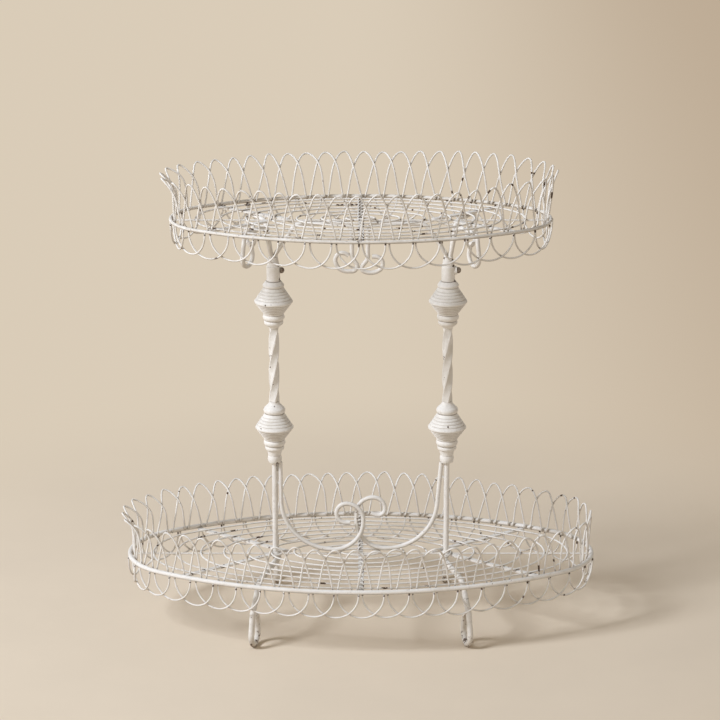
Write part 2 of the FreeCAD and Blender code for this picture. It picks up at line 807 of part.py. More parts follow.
def set_screw(side, sign):
    """A slotted screw with a domed head that points at the stem from the right."""
    label = f"{side}_set_screw"
    tip = "stem_diameter / 2 + stem_clearance"
    seat = "socket_diameter / 2 + stem_clearance"
    if side == "right":
        seat += " + boss_height"
    end = seat + " + screw_head_length"
    shank = "screw_diameter / 2"
    head = "screw_head_diameter / 2"
    dome_radius = f"(screw_dome * screw_dome + {head} * {head}) / (2 * screw_dome)"
    body = turned(label, [
        (tip, "0"), (end, "0", dome_radius), (f"{end} - screw_dome", head), (seat, head), (seat, shank),
        (f"{tip} + screw_tip_break", shank), (tip, f"{shank} - screw_tip_break")], "H_Axis")
    slot = new_sketch(body, label + "_slot_outline", "YZ_Plane")
    half = "screw_slot_width / 2"
    outline(slot, [(f"-{half}", f"-{head}"), (half, f"-{head}"), (half, head), (f"-{half}", head)])
    slot.setExpression("AttachmentOffset.Base.z", bound(end))
    extruded(body, "Pocket", label + "_slot", slot, "screw_slot_depth")
    place(body, x=f"{sign} * post_spacing / 2", z=SOCKET_BASE + " + socket_height - screw_drop")


# Bent rods: braces, legs and arms

def follow(path, moves):
    """Walk a list of moves: a number is a straight run, a pair is a bend's radius and angle."""
    for move in moves:
        if isinstance(move, tuple):
            path.bend(*move)
        else:
            path.run(move)
    return path


def scroll_brace(side, sign):
    """From under the ferrule down beside the post, along the floor and up into a scroll at the middle."""
    thick = radius("brace_diameter")
    start_x = post_x - radius("post_rod_diameter") - thick - size("brace_post_gap")
    meet = thick + size("brace_crossing_gap") / 2
    start = Vector(sign * start_x, 0, level(FERRULE_BASE) - gap)
    forward = Vector(-sign * start_x, sign * meet, 0).normalize()
    lowest = lower_level + wire_radius + gap + thick
    sweep = size("brace_sweep_radius")
    first = size("brace_lean_radius")
    lean = BRACE_LEANS[side]
    tilt = math.radians(lean)
    straight = start.z - lowest - first * math.sin(tilt) - sweep * (1 - math.sin(tilt))
    path = RodPath(start, forward, -90).bend(first, lean).run(straight / math.cos(tilt))
    follow(path.bend(sweep, 90 - lean), BRACE_SCROLLS[side])
    wirework(f"{side}_scroll_brace", rod(path.edges, size("brace_diameter")))


def splayed(sign, end_sign, splay):
    """Level direction to the front or back, turned outwards by the splay."""
    turn = math.radians(splay)
    return Vector(sign * math.sin(turn), end_sign * math.cos(turn), 0)


def down_run(drop, lean, bend_radius, loop_radius, slope=0):
    """Straight run between the bend down and the round bottom of a teardrop of the given drop."""
    tilt = math.radians(lean)
    bend_drop = bend_radius * (math.cos(math.radians(slope)) - math.sin(tilt))
    return (drop - bend_drop - loop_radius * (1 + math.sin(tilt))) / math.cos(tilt)


def teardrop(path, drop, lean, bend_radius, loop_radius, back_run, curl_radius, curl_angle, slope=0):
    """From a slope bend down, run to a round bottom the given drop below, and come back up into a curl."""
    path.bend(bend_radius, lean + slope - 90).run(down_run(drop, lean, bend_radius, loop_radius, slope))
    return path.bend(loop_radius, -180 - 2 * lean).run(back_run).bend(curl_radius, -curl_angle)


def leg(end, end_sign, side, sign):
    """A rod under the floor from the base plate, that slopes down to a knee and ends in a teardrop foot."""
    thick = radius("leg_diameter")
    lean = size("foot_lean")
    height = plate_top - size("bar_thickness") - gap - thick
    forward = splayed(sign, end_sign, size(f"{end}_leg_splay"))
    start = Vector(sign * (post_x - size(f"{end}_leg_shift")), 0, height) + forward * size("leg_start")
    drop = height - thick + size("foot_flat")
    tilt = math.radians(lean)
    slope = math.radians(size("leg_slope"))
    bend_radius = size("leg_bend_radius")
    knee_radius = size("knee_radius")
    knee_height = size("knee_height")
    loop_radius = size("foot_radius")
    sloped = (drop - knee_height - bend_radius * (1 - math.cos(slope))) / math.sin(slope)
    upright = down_run(knee_height, lean, knee_radius, loop_radius, size("leg_slope"))
    out = (bend_radius - knee_radius) * math.sin(slope) + sloped * math.cos(slope)
    out += (knee_radius - loop_radius) * math.cos(tilt) + upright * math.sin(tilt)
    path = RodPath(start, forward, 0).run(size(f"{end}_foot_reach") - out - size("leg_start"))
    path.bend(bend_radius, -size("leg_slope")).run(sloped)
    teardrop(path, knee_height, lean, knee_radius, loop_radius, size("foot_return"),
             size("foot_curl_radius"), size("foot_curl_angle"), size("leg_slope"))
    whole = rod(path.edges, size("leg_diameter"))
    # The foot's underside is flat where it stands on the ground
    around_foot = size(f"{end}_foot_reach") + loop_radius
    corner = start + Vector(-around_foot, -around_foot, -height - thick)
    ground = Part.makeBox(2 * around_foot, 2 * around_foot, thick, corner)
    wirework(f"{end}_{side}_leg", whole.cut(ground).Solids[0])


def arm_from_cone(start, forward, lean):
    """Rise from the cone, lean over and level out under the tray floor."""
    rise = math.radians(90 - lean)
    first = size("arm_foot_radius")
    second = size("arm_bend_radius")
    climb = arm_level - start.z - size("arm_foot_run")
    climb -= first * math.cos(rise) + second * (1 - math.cos(rise))
    path = RodPath(start, forward, 90).run(size("arm_foot_run")).bend(first, -lean)
    return path.run(climb / math.sin(rise)).bend(second, lean - 90)


def inner_arm(side, sign):
    """The arm to the middle of the tray, bent down into a hanging curl."""
    start = Vector(sign * (post_x - size("arm_spread")), 0, cone_top + gap)
    path = arm_from_cone(start, Vector(-sign, 0, 0), size("inner_arm_lean"))
    bend_radius = size("curl_bend_radius")
    moves = ARM_CURLS[side]
    path.run(abs(path.point.x) - size(f"{side}_curl_offset") - bend_radius).bend(bend_radius, -90)
    wirework(f"{side}_inner_arm", rod(follow(path, moves).edges, size("arm_diameter")))


def outer_arm(end, end_sign, side, sign):
    """An arm to the front or back, bent down into a hanging teardrop."""
    start = Vector(sign * (post_x + size("arm_spread")), end_sign * size("arm_parting"), cone_top + gap)
    forward = splayed(sign, end_sign, size("outer_arm_splay"))
    path = arm_from_cone(start, forward, size("outer_arm_lean"))
    reached = (path.point - start).dot(forward)
    path.run(size("drop_reach") - reached - size("drop_bend_radius"))
    teardrop(path, size("drop_depth"), size("drop_lean"), size("drop_bend_radius"), size("drop_radius"),
             size("drop_return"), size("drop_curl_radius"), size("drop_curl_angle"))
    wirework(f"{end}_{side}_arm", rod(path.edges, size("arm_diameter")))


def oval_of(tier):
    return Oval(size(f"{tier}_half_length"), size(f"{tier}_half_width"), size(f"{tier}_end_radius"))


lower_oval = oval_of("lower")
upper_oval = oval_of("upper")
tray("lower", lower_oval, lower_level)
tray("upper", upper_oval, upper_level)
for side, sign in SIDES:
    base_plate(side, sign)
    post_rod(side, sign)
    ferrule(side, sign)
    lower_knob(side, sign)
    twisted_bar(side, sign)
    upper_knob(side, sign)
    socket(side, sign)
    set_screw(side, sign)
    stem(side, sign)
    scroll_brace(side, sign)
    inner_arm(side, sign)
    for end, end_sign in ENDS:
        leg(end, end_sign, side, sign)
        outer_arm(end, end_sign, side, sign)

doc.recompute()
for obj in doc.Objects:
    if "Invalid" in obj.State or "Error" in obj.State:
        raise RuntimeError(f"{obj.Label} does not rebuild")
os.makedirs("parts", exist_ok=True)
for obj in subparts:
    shape = obj.Shape
    if shape.isNull() or not shape.isValid():
        raise RuntimeError(f"{obj.Label} has no valid shape")
    shape.exportStep(f"parts/{obj.Label}.step")
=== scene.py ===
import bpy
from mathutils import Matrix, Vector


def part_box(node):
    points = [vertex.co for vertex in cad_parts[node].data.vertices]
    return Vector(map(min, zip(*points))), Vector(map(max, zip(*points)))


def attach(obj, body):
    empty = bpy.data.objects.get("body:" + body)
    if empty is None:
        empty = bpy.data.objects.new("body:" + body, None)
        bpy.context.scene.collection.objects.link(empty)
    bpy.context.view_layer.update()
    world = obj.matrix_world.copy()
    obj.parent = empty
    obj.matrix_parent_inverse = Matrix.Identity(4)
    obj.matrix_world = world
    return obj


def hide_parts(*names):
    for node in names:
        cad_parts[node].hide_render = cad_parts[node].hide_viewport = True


bl_info = {
    "name": "Wirework Plant Stand",
    "version": (1, 0, 0),
    "blender": (4, 5, 0),
    "location": "View3D > Sidebar > Plant Stand",
    "description": "Paints the two-tier plant stand, bends its wires by hand and sets its stage",
    "category": "Object",
}

import math
import random

import bmesh
import bpy
import numpy as np
from bpy.props import FloatProperty, FloatVectorProperty, PointerProperty
from mathutils import Matrix, Vector, noise
from mathutils.geometry import interpolate_bezier

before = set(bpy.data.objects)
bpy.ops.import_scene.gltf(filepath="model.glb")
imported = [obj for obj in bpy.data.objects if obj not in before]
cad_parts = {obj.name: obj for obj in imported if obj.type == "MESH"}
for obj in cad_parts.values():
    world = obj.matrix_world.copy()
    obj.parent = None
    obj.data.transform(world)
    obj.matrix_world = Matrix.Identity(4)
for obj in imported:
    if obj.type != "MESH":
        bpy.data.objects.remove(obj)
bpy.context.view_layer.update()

SIDES = {"left": -1, "right": 1}
ENDS = {"front": -1, "back": 1}
UP = Vector((0, 0, 1))
END_ROUNDNESS = 0.3  # radius of a tray's end arc as a share of its half length


# Sizes and colours that a user would change

class StandPaintSettings(bpy.types.PropertyGroup):
    paint_colour: FloatVectorProperty(
        name="Paint", description="Chalky off-white paint", subtype="COLOR",
        size=4, min=0, max=1, default=(0.855, 0.826, 0.786, 1))
    aged_colour: FloatVectorProperty(
        name="Aged Paint", description="Yellowed and rubbed patches of the paint", subtype="COLOR",
        size=4, min=0, max=1, default=(0.63, 0.58, 0.505, 1))
    # Colour of the painted shade in hollows, corners and on faces that look down, which also stands for
    # dirt in the hollows.
    shade_and_grime_colour: FloatVectorProperty(
        name="Grime", description="Brown grime in the grooves and corners of the paint", subtype="COLOR",
        size=4, min=0, max=1, default=(0.30, 0.24, 0.175, 1))
    iron_colour: FloatVectorProperty(
        name="Bare Iron", description="Dark iron where the paint has chipped off", subtype="COLOR",
        size=4, min=0, max=1, default=(0.045, 0.033, 0.024, 1))
    rust_colour: FloatVectorProperty(
        name="Rust", description="Brown rust at the edges of the chips", subtype="COLOR",
        size=4, min=0, max=1, default=(0.13, 0.075, 0.045, 1))
    steel_colour: FloatVectorProperty(
        name="Screw Steel", description="Worn metal of the set screws", subtype="COLOR",
        size=4, min=0, max=1, default=(0.34, 0.30, 0.25, 1))
    paint_roughness: FloatProperty(
        name="Paint Roughness", description="How matt the paint is", subtype="FACTOR",
        min=0, max=1, default=0.55)


class StandWireSettings(bpy.types.PropertyGroup):
    wire_diameter: FloatProperty(
        name="Wire", description="Thickness of the fence, skirt and floor wires with their paint",
        unit="LENGTH", min=0.001, max=0.006, default=0.0031)
    hand_bend: FloatProperty(
        name="Hand Bend", description="How far a hand-bent wire strays from an even pattern",
        unit="LENGTH", min=0, max=0.004, default=0.0018)
    bead_radius: FloatProperty(
        name="Weld Bead", description="Radius of the small welds where wires meet the rims and spines",
        unit="LENGTH", min=0.001, max=0.004, default=0.0021)
    fillet_width: FloatProperty(
        name="Weld Fillet", description="Width of the welds round the post rods, braces and arms",
        unit="LENGTH", min=0.001, max=0.006, default=0.003)


class StandStageSettings(bpy.types.PropertyGroup):
    floor_colour: FloatVectorProperty(
        name="Floor", description="Plain pale studio floor", subtype="COLOR",
        size=4, min=0, max=1, default=(0.83, 0.71, 0.56, 1))
    bright_tone: FloatVectorProperty(
        name="Bright Side", description="Tone of the far background on the side of the key light",
        subtype="COLOR", size=4, min=0, max=1, default=(0.70, 0.605, 0.48, 1))
    dim_tone: FloatVectorProperty(
        name="Dim Side", description="Tone of the far background on the other side",
        subtype="COLOR", size=4, min=0, max=1, default=(0.515, 0.413, 0.305, 1))
    key_power: FloatProperty(
        name="Key Light", description="Power of the soft light at the upper left", unit="POWER",
        min=0, default=345)
    fill_strength: FloatProperty(
        name="Fill Light", description="Strength of the light all round, at the horizon",
        min=0, default=0.70)
    camera_distance: FloatProperty(
        name="Camera Distance", description="Distance from the lens to the middle of the view",
        unit="LENGTH", min=1, default=5.531)
    camera_tilt: FloatProperty(
        name="Camera Tilt", description="How far the camera looks down", subtype="ANGLE",
        default=math.radians(16.67))
    camera_lens: FloatProperty(
        name="Lens", description="Focal length", unit="CAMERA", min=10, default=162.15)
    view_centre: FloatVectorProperty(
        name="View Centre", description="Point at the middle of the picture", subtype="TRANSLATION",
        size=3, default=(-0.0013, 0, 0.4634))


# Trays

class Oval:
    """Plan of a tray: two end arcs and two side arcs that meet tangentially."""

    def __init__(self, half_length, half_width):
        end = END_ROUNDNESS * half_length
        reach = half_length - end
        side = (reach ** 2 + half_width ** 2 - end ** 2) / (2 * (half_width - end))
        end_angle = math.atan2(side - half_width, reach)
        side_angle = math.pi / 2 - end_angle
        self.half_length = half_length
        self.half_width = half_width
        self.arcs = (
            (Vector((reach, 0, 0)), end, end_angle, 0),
            (Vector((0, half_width - side, 0)), side, side_angle, math.pi / 2),
            (Vector((-reach, 0, 0)), end, end_angle, math.pi),
            (Vector((0, side - half_width, 0)), side, side_angle, 3 * math.pi / 2),
        )
        self.perimeter = sum(2 * arc[1] * arc[2] for arc in self.arcs)
        self.first = end * end_angle

    def locate(self, distance):
        """Centre, radius and angle of the arc at a distance from the right-hand end."""
        along = (distance + self.first) % self.perimeter
        for centre, radius, half, middle in self.arcs:
            if along <= 2 * radius * half:
                break
            along -= 2 * radius * half
        return centre, radius, middle - half + along / radius

    def outward(self, distance):
        angle = self.locate(distance)[2]
        return Vector((math.cos(angle), math.sin(angle), 0))

    def at(self, distance, offset, height):
        """Point at a distance along the oval, moved outwards by the offset and up to the height."""
        centre, radius, angle = self.locate(distance)
        outward = Vector((math.cos(angle), math.sin(angle), 0))
        return centre + outward * (radius + offset) + Vector((0, 0, height))

    def scaled(self, share):
        return Oval(self.half_length * share, self.half_width * share)


def ramp(value, start, run):
    """0 up to the start, then rising evenly to 1 over the run."""
    return min(max((value - start) / run, 0), 1)


class Tray:
    """One tier's own sizes, with its rim read from the frame."""

    def __init__(self, tier, body, **sizes):
        low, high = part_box(f"{tier}_rim")
        self.tier = tier
        self.body = body
        self.rim_radius = (high.z - low.z) / 2
        self.level = (high.z + low.z) / 2
        self.oval = Oval(high.x - self.rim_radius, high.y - self.rim_radius)
        self.front = 0.75 * self.oval.perimeter  # from the right-hand end, by way of the back
        self.__dict__.update(sizes)

    def hoop_middle(self, number):
        """Distance along the rim to the middle of one fence hoop."""
        return self.front + self.oval.perimeter / self.hoops * (number + self.hoop_shift)

    def strayed(self, kind, number, count, shares):
        """Hand-bent deviation of one point, along the rim, outwards and up, the same at every call."""
        draw = random.Random(f"{self.tier} {kind} {number % count}")
        bend = bpy.context.scene.stand_wires.hand_bend
        return Vector([draw.uniform(-1, 1) * bend * share for share in shares])

    def rightness(self, distance):
        """0 left of the middle, rising to 1 at the right-hand end, whose fence was bent upright."""
        return ramp(self.oval.at(distance, 0, 0).x / self.oval.half_length, start=0.2, run=0.55)

    def frontness(self, distance):
        """0 at the back and the ends, rising to 1 along the front, whose hoops are taller."""
        front = ramp(-self.oval.at(distance, 0, 0).y / self.oval.half_width, start=0.25, run=0.4)
        return front * (1 - min(2 * self.rightness(distance), 1))


# Lengths are in metres. hoop_leg_gap is between the feet of a hoop and those of the next but one. The
# upright values are the shares of their flare that the hoops lose at the right and the front. foot_weld is
# the size of the welds at their feet as a share of the bead radius, and bare_feet the share of those that
# are bare. floor_chips is the number of chips on the innermost floor wire.
LOWER = Tray(
    "lower", "stand",
    hoops=58, hoop_shift=-0.3, hoop_height=0.073, hoop_flare=math.radians(44), hoop_lean=0.002,
    hoop_leg_gap=0.0075, right_upright=0.8, right_lift=0.0, front_upright=0.6, front_lift=0.003,
    loops=46, loop_depth=0.048, rings=9, inner_ring=0.034,
    foot_weld=0.62, bare_feet=0.25, floor_chips=1)
UPPER = Tray(
    "upper", "upper_tier",
    hoops=48, hoop_shift=-0.16, hoop_height=0.075, hoop_flare=math.radians(38), hoop_lean=0.005,
    hoop_leg_gap=0.0054, right_upright=0.35, right_lift=0.010, front_upright=0.6, front_lift=0.0045,
    loops=35, loop_depth=0.0465, rings=7, inner_ring=0.024,
    foot_weld=0.78, bare_feet=0.5, floor_chips=13)
TRAYS = (LOWER, UPPER)

CROSS_HEIGHT = 0.055  # of the crossings of neighbouring hoops, above the middle of the rim
WEAVE = 0.0021  # how far a hoop passes inside its left neighbour and outside its right one
LOOP_LEG_GAP = 0.0065  # between the ends of a skirt loop and those of the next but one
LOOP_TILT = 0.0033  # how far a skirt loop's left end is inside the rim's line, and its right end outside
POST_LOW, POST_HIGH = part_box("right_post_rod")
POST_X = (POST_LOW.x + POST_HIGH.x) / 2
POST_RADIUS = POST_HIGH.x - POST_X
BAR_ANGLE = math.radians(36)  # between a diagonal bar and the long axis
BAR_ASIDE = 0.02115  # between the line of a back bar and the post

# Shares of the hand bend that reach a wire's points, along the rim, outwards and up
HOOP_FOOT_STRAY = (0.5, 0, 0)
HOOP_CROSSING_STRAY = (1.4, 0.6, 4)
HOOP_TOP_STRAY = (0.9, 1, 0.9)
LOOP_END_STRAY = (0.45, 0, 0)
LOOP_BOTTOM_STRAY = (1, 0.4, 0.7)


# Meshes

def wire_sections(path, normal, closed):
    """Directions across and up from a wire at each of its points."""
    ahead = np.roll(path, -1, axis=0)
    behind = np.roll(path, 1, axis=0)
    if not closed:
        ahead[-1] = path[-1]
        behind[0] = path[0]
    along = ahead - behind
    along /= np.linalg.norm(along, axis=1)[:, None]
    across = np.cross(along, np.array(normal))
    across /= np.linalg.norm(across, axis=1)[:, None]
    return across, np.cross(across, along)


class Wires:
    """Bent wires gathered as round tubes in one mesh, with a mark of bare metal at each point."""

    FACETS = 10
    SWELL = 0.05  # how much the paint thickens and thins a wire, as a share of its radius
    SWELLS_PER_METRE = 160

    def __init__(self):
        self.vertices = []
        self.faces = []
        self.bare = []

    def add(self, points, radius, normal, closed=False, bare=(), wear=1.0):
        """Add one wire; bare holds spans of it, from 0 to 1, that get the mark of wear."""
        path = np.array(points)
        count = len(path)
        across, up = wire_sections(path, normal, closed)
        turn = np.arange(self.FACETS) * 2 * math.pi / self.FACETS
        ring = np.cos(turn)[None, :, None] * across[:, None] + np.sin(turn)[None, :, None] * up[:, None]
        lumps = [noise.noise(Vector(point) * self.SWELLS_PER_METRE) for point in path]
        swell = 1 + self.SWELL * np.array(lumps)
        rings = path[:, None] + ring * (radius * swell)[:, None, None]
        self.join(len(self.vertices), count, closed)
        self.vertices.extend(rings.reshape(-1, 3).tolist())
        for step in range(count):
            share = step / (count - 1)
            worn = any(low <= share <= high for low, high in bare)
            self.bare.extend([wear if worn else 0.0] * self.FACETS)

    def join(self, start, count, closed):
        """Faces between the rings of one wire, and over its ends if it is open."""
        for step in range(count if closed else count - 1):
            here = start + step * self.FACETS
            there = start + (step + 1) % count * self.FACETS
            for facet in range(self.FACETS):
                beside = (facet + 1) % self.FACETS
                self.faces.append((here + facet, here + beside, there + beside, there + facet))
        if not closed:
            last = start + (count - 1) * self.FACETS
            self.faces.append(tuple(range(start + self.FACETS - 1, start - 1, -1)))
            self.faces.append(tuple(range(last, last + self.FACETS)))

    def piece(self, name):
        mesh = bpy.data.meshes.new(name)
        mesh.from_pydata(self.vertices, [], self.faces)
        mark = mesh.attributes.new("bare", "FLOAT", "POINT")
        mark.data.foreach_set("value", self.bare)
        return new_piece(name, mesh)


class Welds:
    """Small uneven weld beads and fillets gathered in one mesh."""

    BEAD_LUMP = 0.28  # how far a bead's face strays, as a share of its radius
    BEAD_LUMPS_PER_METRE = 420
    FILLET_FACE = ((0.12, 0.95), (0.3, 0.42), (0.62, 0.16), (1, 0))  # out from the rod and up, per width
    FILLET_BITE = 0.0004  # how far a fillet reaches into its rod
    FILLET_SINK = 0.02  # how far it reaches into the face below, per width
    FILLET_LUMP = 0.16  # how far its face strays, as a share of its height
    FILLET_LUMPS_PER_METRE = 300
    FILLET_STEPS = 28

    def __init__(self):
        self.form = bmesh.new()
        self.bare = self.form.verts.layers.float.new("bare")

    def bead(self, centre, radii, axis=UP, worn=0.0):
        """A lump of three radii, the last along the axis."""
        turn = axis.to_track_quat("Z", "Y").to_matrix().to_4x4()
        place = Matrix.Translation(centre) @ turn @ Matrix.Diagonal((*radii, 1))
        lump = bmesh.ops.create_icosphere(self.form, subdivisions=2, radius=1, matrix=place)
        for vertex in lump["verts"]:
            push = noise.noise(vertex.co * self.BEAD_LUMPS_PER_METRE) * self.BEAD_LUMP
            vertex.co = centre + (vertex.co - centre) * (1 + push)
            vertex[self.bare] = worn

    def fillet(self, centre, axis, radius, width):
        """A concave ring of weld round a rod that stands on a face at the centre."""
        turn = axis.to_track_quat("Z", "Y").to_matrix()
        root = radius - self.FILLET_BITE
        face = [(radius + out * width, up) for out, up in self.FILLET_FACE]
        profile = [(root, 1.0), *face, (root, -self.FILLET_SINK)]
        rings = []
        for step in range(self.FILLET_STEPS):
            angle = 2 * math.pi * step / self.FILLET_STEPS
            ring = []
            for out, up in profile:
                spot = Vector((out * math.cos(angle), out * math.sin(angle), up * width))
                lump = self.FILLET_LUMP * noise.noise((centre + turn @ spot) * self.FILLET_LUMPS_PER_METRE)
                spot.x *= 1 + lump * width / radius
                spot.y *= 1 + lump * width / radius
                spot.z *= 1 + lump
                ring.append(self.form.verts.new(centre + turn @ spot))
            rings.append(ring)
        for ring, following in zip(rings, rings[1:] + rings[:1]):
            for number in range(len(profile)):
                beside = (number + 1) % len(profile)
                self.form.faces.new((ring[number], following[number], following[beside], ring[beside]))

    def piece(self, name):
        bmesh.ops.recalc_face_normals(self.form, faces=self.form.faces)
        mesh = bpy.data.meshes.new(name)
        self.form.to_mesh(mesh)
        self.form.free()
        return new_piece(name, mesh)


def new_piece(name, mesh):
    mesh.shade_smooth()
    piece = bpy.data.objects.new(name, mesh)
    bpy.context.scene.collection.objects.link(piece)
    return piece


def finish_piece(piece, body, material, stands_for=None):
    """Paint a piece, fix it to its body and let it stand for a frame piece if one is named."""
    piece.data.materials.append(material)
    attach(piece, body)
    if stands_for:
        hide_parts(stands_for)


def make_for_trays(make, stands_for=None):
    """Make a wire piece for each tray, in place of the tray's frame piece of that name if there is one."""
    for tray in TRAYS:
        replaced = f"{tray.tier}_{stands_for}" if stands_for else None
        finish_piece(make(tray), tray.body, finish_named("chalk_paint_on_wire"), replaced)


def dress(nodes, material):
    """Give frame pieces their finish."""
    for name in nodes:
        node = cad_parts[name]
        node.data.materials.clear()
        node.data.materials.append(material)


# Finishes

class Finish:
    """A procedural material, built node by node on a Principled shader."""

    def __init__(self, name):
        self.material = bpy.data.materials.new(name)
        self.material.use_nodes = True
        self.tree = self.material.node_tree
        self.shader = self.tree.nodes["Principled BSDF"]
        self.coordinates = self.add("ShaderNodeTexCoord").outputs["Object"]

    def add(self, kind, **settings):
        node = self.tree.nodes.new(kind)
        for name, value in settings.items():
            setattr(node, name, value)
        return node

    def wire(self, source, target):
        if hasattr(source, "is_output"):
            self.tree.links.new(source, target)
        else:
            target.default_value = source

    def parts(self, vector):
        """The X, Y and Z of a vector."""
        node = self.add("ShaderNodeSeparateXYZ")
        self.wire(vector, node.inputs["Vector"])
        return node.outputs

    def noise(self, scale, detail=3, roughness=0.55):
        node = self.add("ShaderNodeTexNoise")
        node.inputs["Scale"].default_value = scale
        node.inputs["Detail"].default_value = detail
        node.inputs["Roughness"].default_value = roughness
        self.wire(self.coordinates, node.inputs["Vector"])
        return node.outputs["Fac"]

    def step(self, value, low, high, to_low=0.0, to_high=1.0):
        node = self.add("ShaderNodeMapRange", interpolation_type="SMOOTHSTEP")
        self.wire(value, node.inputs["Value"])
        limits = {"From Min": low, "From Max": high, "To Min": to_low, "To Max": to_high}
        for socket, number in limits.items():
            node.inputs[socket].default_value = number
        return node.outputs["Result"]

    def math(self, operation, first, second):
        node = self.add("ShaderNodeMath", operation=operation)
        self.wire(first, node.inputs[0])
        self.wire(second, node.inputs[1])
        return node.outputs["Value"]

    def mix(self, share, first, second):
        node = self.add("ShaderNodeMix", data_type="RGBA")
        self.wire(share, node.inputs["Factor"])
        self.wire(first, node.inputs["A"])
        self.wire(second, node.inputs["B"])
        return node.outputs["Result"]

    def bump(self, height, distance, strength=1.0, normal=None):
        node = self.add("ShaderNodeBump")
        node.inputs["Strength"].default_value = strength
        node.inputs["Distance"].default_value = distance
        self.wire(height, node.inputs["Height"])
        if normal:
            self.wire(normal, node.inputs["Normal"])
        return node.outputs["Normal"]

    def set(self, **values):
        for name, value in values.items():
            self.wire(value, self.shader.inputs[name.replace("_", " ")])


# Kinds of chalky paint. patch, chip and grain are the scales of the yellowed patches, chips and grains, per
# metre. chip_level is where in its noise the paint chips off, relief the depth of the grains, hollow the
# reach of the painted shade and dirt in hollows, underside_shade the painted shade on faces that look down
# and weathered a share of further yellowing.
PAINTS = {
    "chalk_paint_on_wire": dict(
        patch=34, chip=210, chip_level=0.715, grain=1500, relief=0.00005, underside_shade=0.55),
    "chalk_paint_on_rod": dict(
        patch=22, chip=190, chip_level=0.735, grain=1100, relief=0.00007, underside_shade=0.5, knocked=True),
    "chalk_paint_on_bar": dict(
        patch=26, chip=130, chip_level=0.64, grain=1100, relief=0.00007, underside_shade=0.6),
    "weathered_paint_on_rod": dict(
        patch=45, chip=170, chip_level=0.685, grain=1100, relief=0.00009, underside_shade=0.75, weathered=0.14),
    "chalk_paint_on_casting": dict(
        patch=30, chip=150, chip_level=0.735, grain=560, relief=0.0002, hollow=0.003, knocked=True),
    "chalk_paint_on_twist": dict(
        patch=30, chip=150, chip_level=0.735, grain=560, relief=0.0002, hollow=0.003, weathered=0.08,
        knocked=True),
}
BARE_WEAR = 0.34  # how much lower the chip level is where a wire or weld is marked as bare
GROUND_WEAR = 0.125  # how much lower it is at the ground
CHIP_EDGE = 0.018  # how soft the edge of a chip is, in the same noise
STAIN_REACH = 0.07  # how far rust stains the paint round a chip, in the same noise
COAT_DEPTH = 0.00012  # thickness of the paint at the edge of a chip

# Knocks that bared the iron of the posts and scrolls, each as a place across, a height and a radius. The
# last six run together into the dark seam between the left post rod and its brace: bare iron where no paint
# got, with painted shade of the crevice.
KNOCKS = (
    (-0.1526, 0.473, 0.0011), (-0.1560, 0.470, 0.0010), (-0.1545, 0.452, 0.0012), (-0.1495, 0.422, 0.0009),
    (-0.1475, 0.384, 0.0010), (-0.1705, 0.347, 0.0009), (-0.1610, 0.568, 0.0014), (-0.1355, 0.607, 0.0030),
    (-0.1385, 0.632, 0.0022), (0.1420, 0.470, 0.0011), (0.1415, 0.466, 0.0009), (0.1400, 0.459, 0.0010),
    (0.1385, 0.454, 0.0011), (0.1490, 0.352, 0.0014), (0.1400, 0.644, 0.0020), (0.1555, 0.641, 0.0017),
    (0.1565, 0.631, 0.0020), (0.1600, 0.605, 0.0022), (-0.0060, 0.176, 0.0012), (-0.0045, 0.170, 0.0014),
    (-0.0035, 0.164, 0.0010), (-0.0080, 0.188, 0.0010), (-0.1434, 0.281, 0.0020), (-0.1432, 0.278, 0.0021),
    (-0.1433, 0.275, 0.0021), (-0.1431, 0.272, 0.0019), (-0.1432, 0.269, 0.0020), (-0.1431, 0.266, 0.0018))


def knocks(finish):
    """1 inside the ragged outline of every knock."""
    place = finish.parts(finish.coordinates)
    ragged = finish.step(finish.noise(1300, detail=2), low=0.25, high=0.75, to_low=0.6, to_high=1.7)
    struck = 0.0
    for across, height, radius in KNOCKS:
        aside = finish.math("SUBTRACT", place["X"], across)
        above = finish.math("SUBTRACT", place["Z"], height)
        square = finish.math("MULTIPLY", aside, aside)
        away = finish.math("ADD", square, finish.math("MULTIPLY", above, above))
        hit = finish.math("LESS_THAN", finish.math("MULTIPLY", away, ragged), radius ** 2)
        struck = finish.math("MAXIMUM", struck, hit)
    return struck


def ground_wear(finish):
    """Extra chipping of the feet, just above the ground."""
    height = finish.parts(finish.coordinates)["Z"]
    return finish.step(height, low=0.002, high=0.035, to_low=GROUND_WEAR, to_high=0.0)


def hollow_shade_mask(finish, reach):
    """Painted shade, with dirt: 0 on open faces, rising to 0.7 in grooves, in corners and where pieces
    meet, within the reach.
    """
    hollow = finish.add("ShaderNodeAmbientOcclusion", samples=6)
    hollow.inputs["Distance"].default_value = reach
    return finish.step(hollow.outputs["AO"], low=0.35, high=0.90, to_low=0.7, to_high=0.0)


def underside_shade_mask(finish, share):
    """Painted shade: 0 on faces that look up, rising to the share on those that look down."""
    facing = finish.parts(finish.add("ShaderNodeNewGeometry").outputs["Normal"])
    return finish.step(facing["Z"], low=-0.9, high=0.15, to_low=share, to_high=0.0)


def aged_paint(finish, patch, grains, weathered):
    """Colour of the paint, with yellowed patches, smears and specks."""
    paint = bpy.context.scene.stand_paint
    cloud = finish.noise(patch, detail=4, roughness=0.62)
    patches = finish.step(cloud, low=0.44 - weathered, high=0.74 - weathered, to_high=0.62)
    smears = finish.step(finish.noise(patch * 4.3), low=0.50, high=0.80, to_high=0.55)
    specks = finish.step(grains, low=0.42, high=0.66, to_high=0.34)
    aged = finish.math("MAXIMUM", finish.math("MAXIMUM", patches, smears), specks)
    return finish.mix(aged, tuple(paint.paint_colour), tuple(paint.aged_colour))


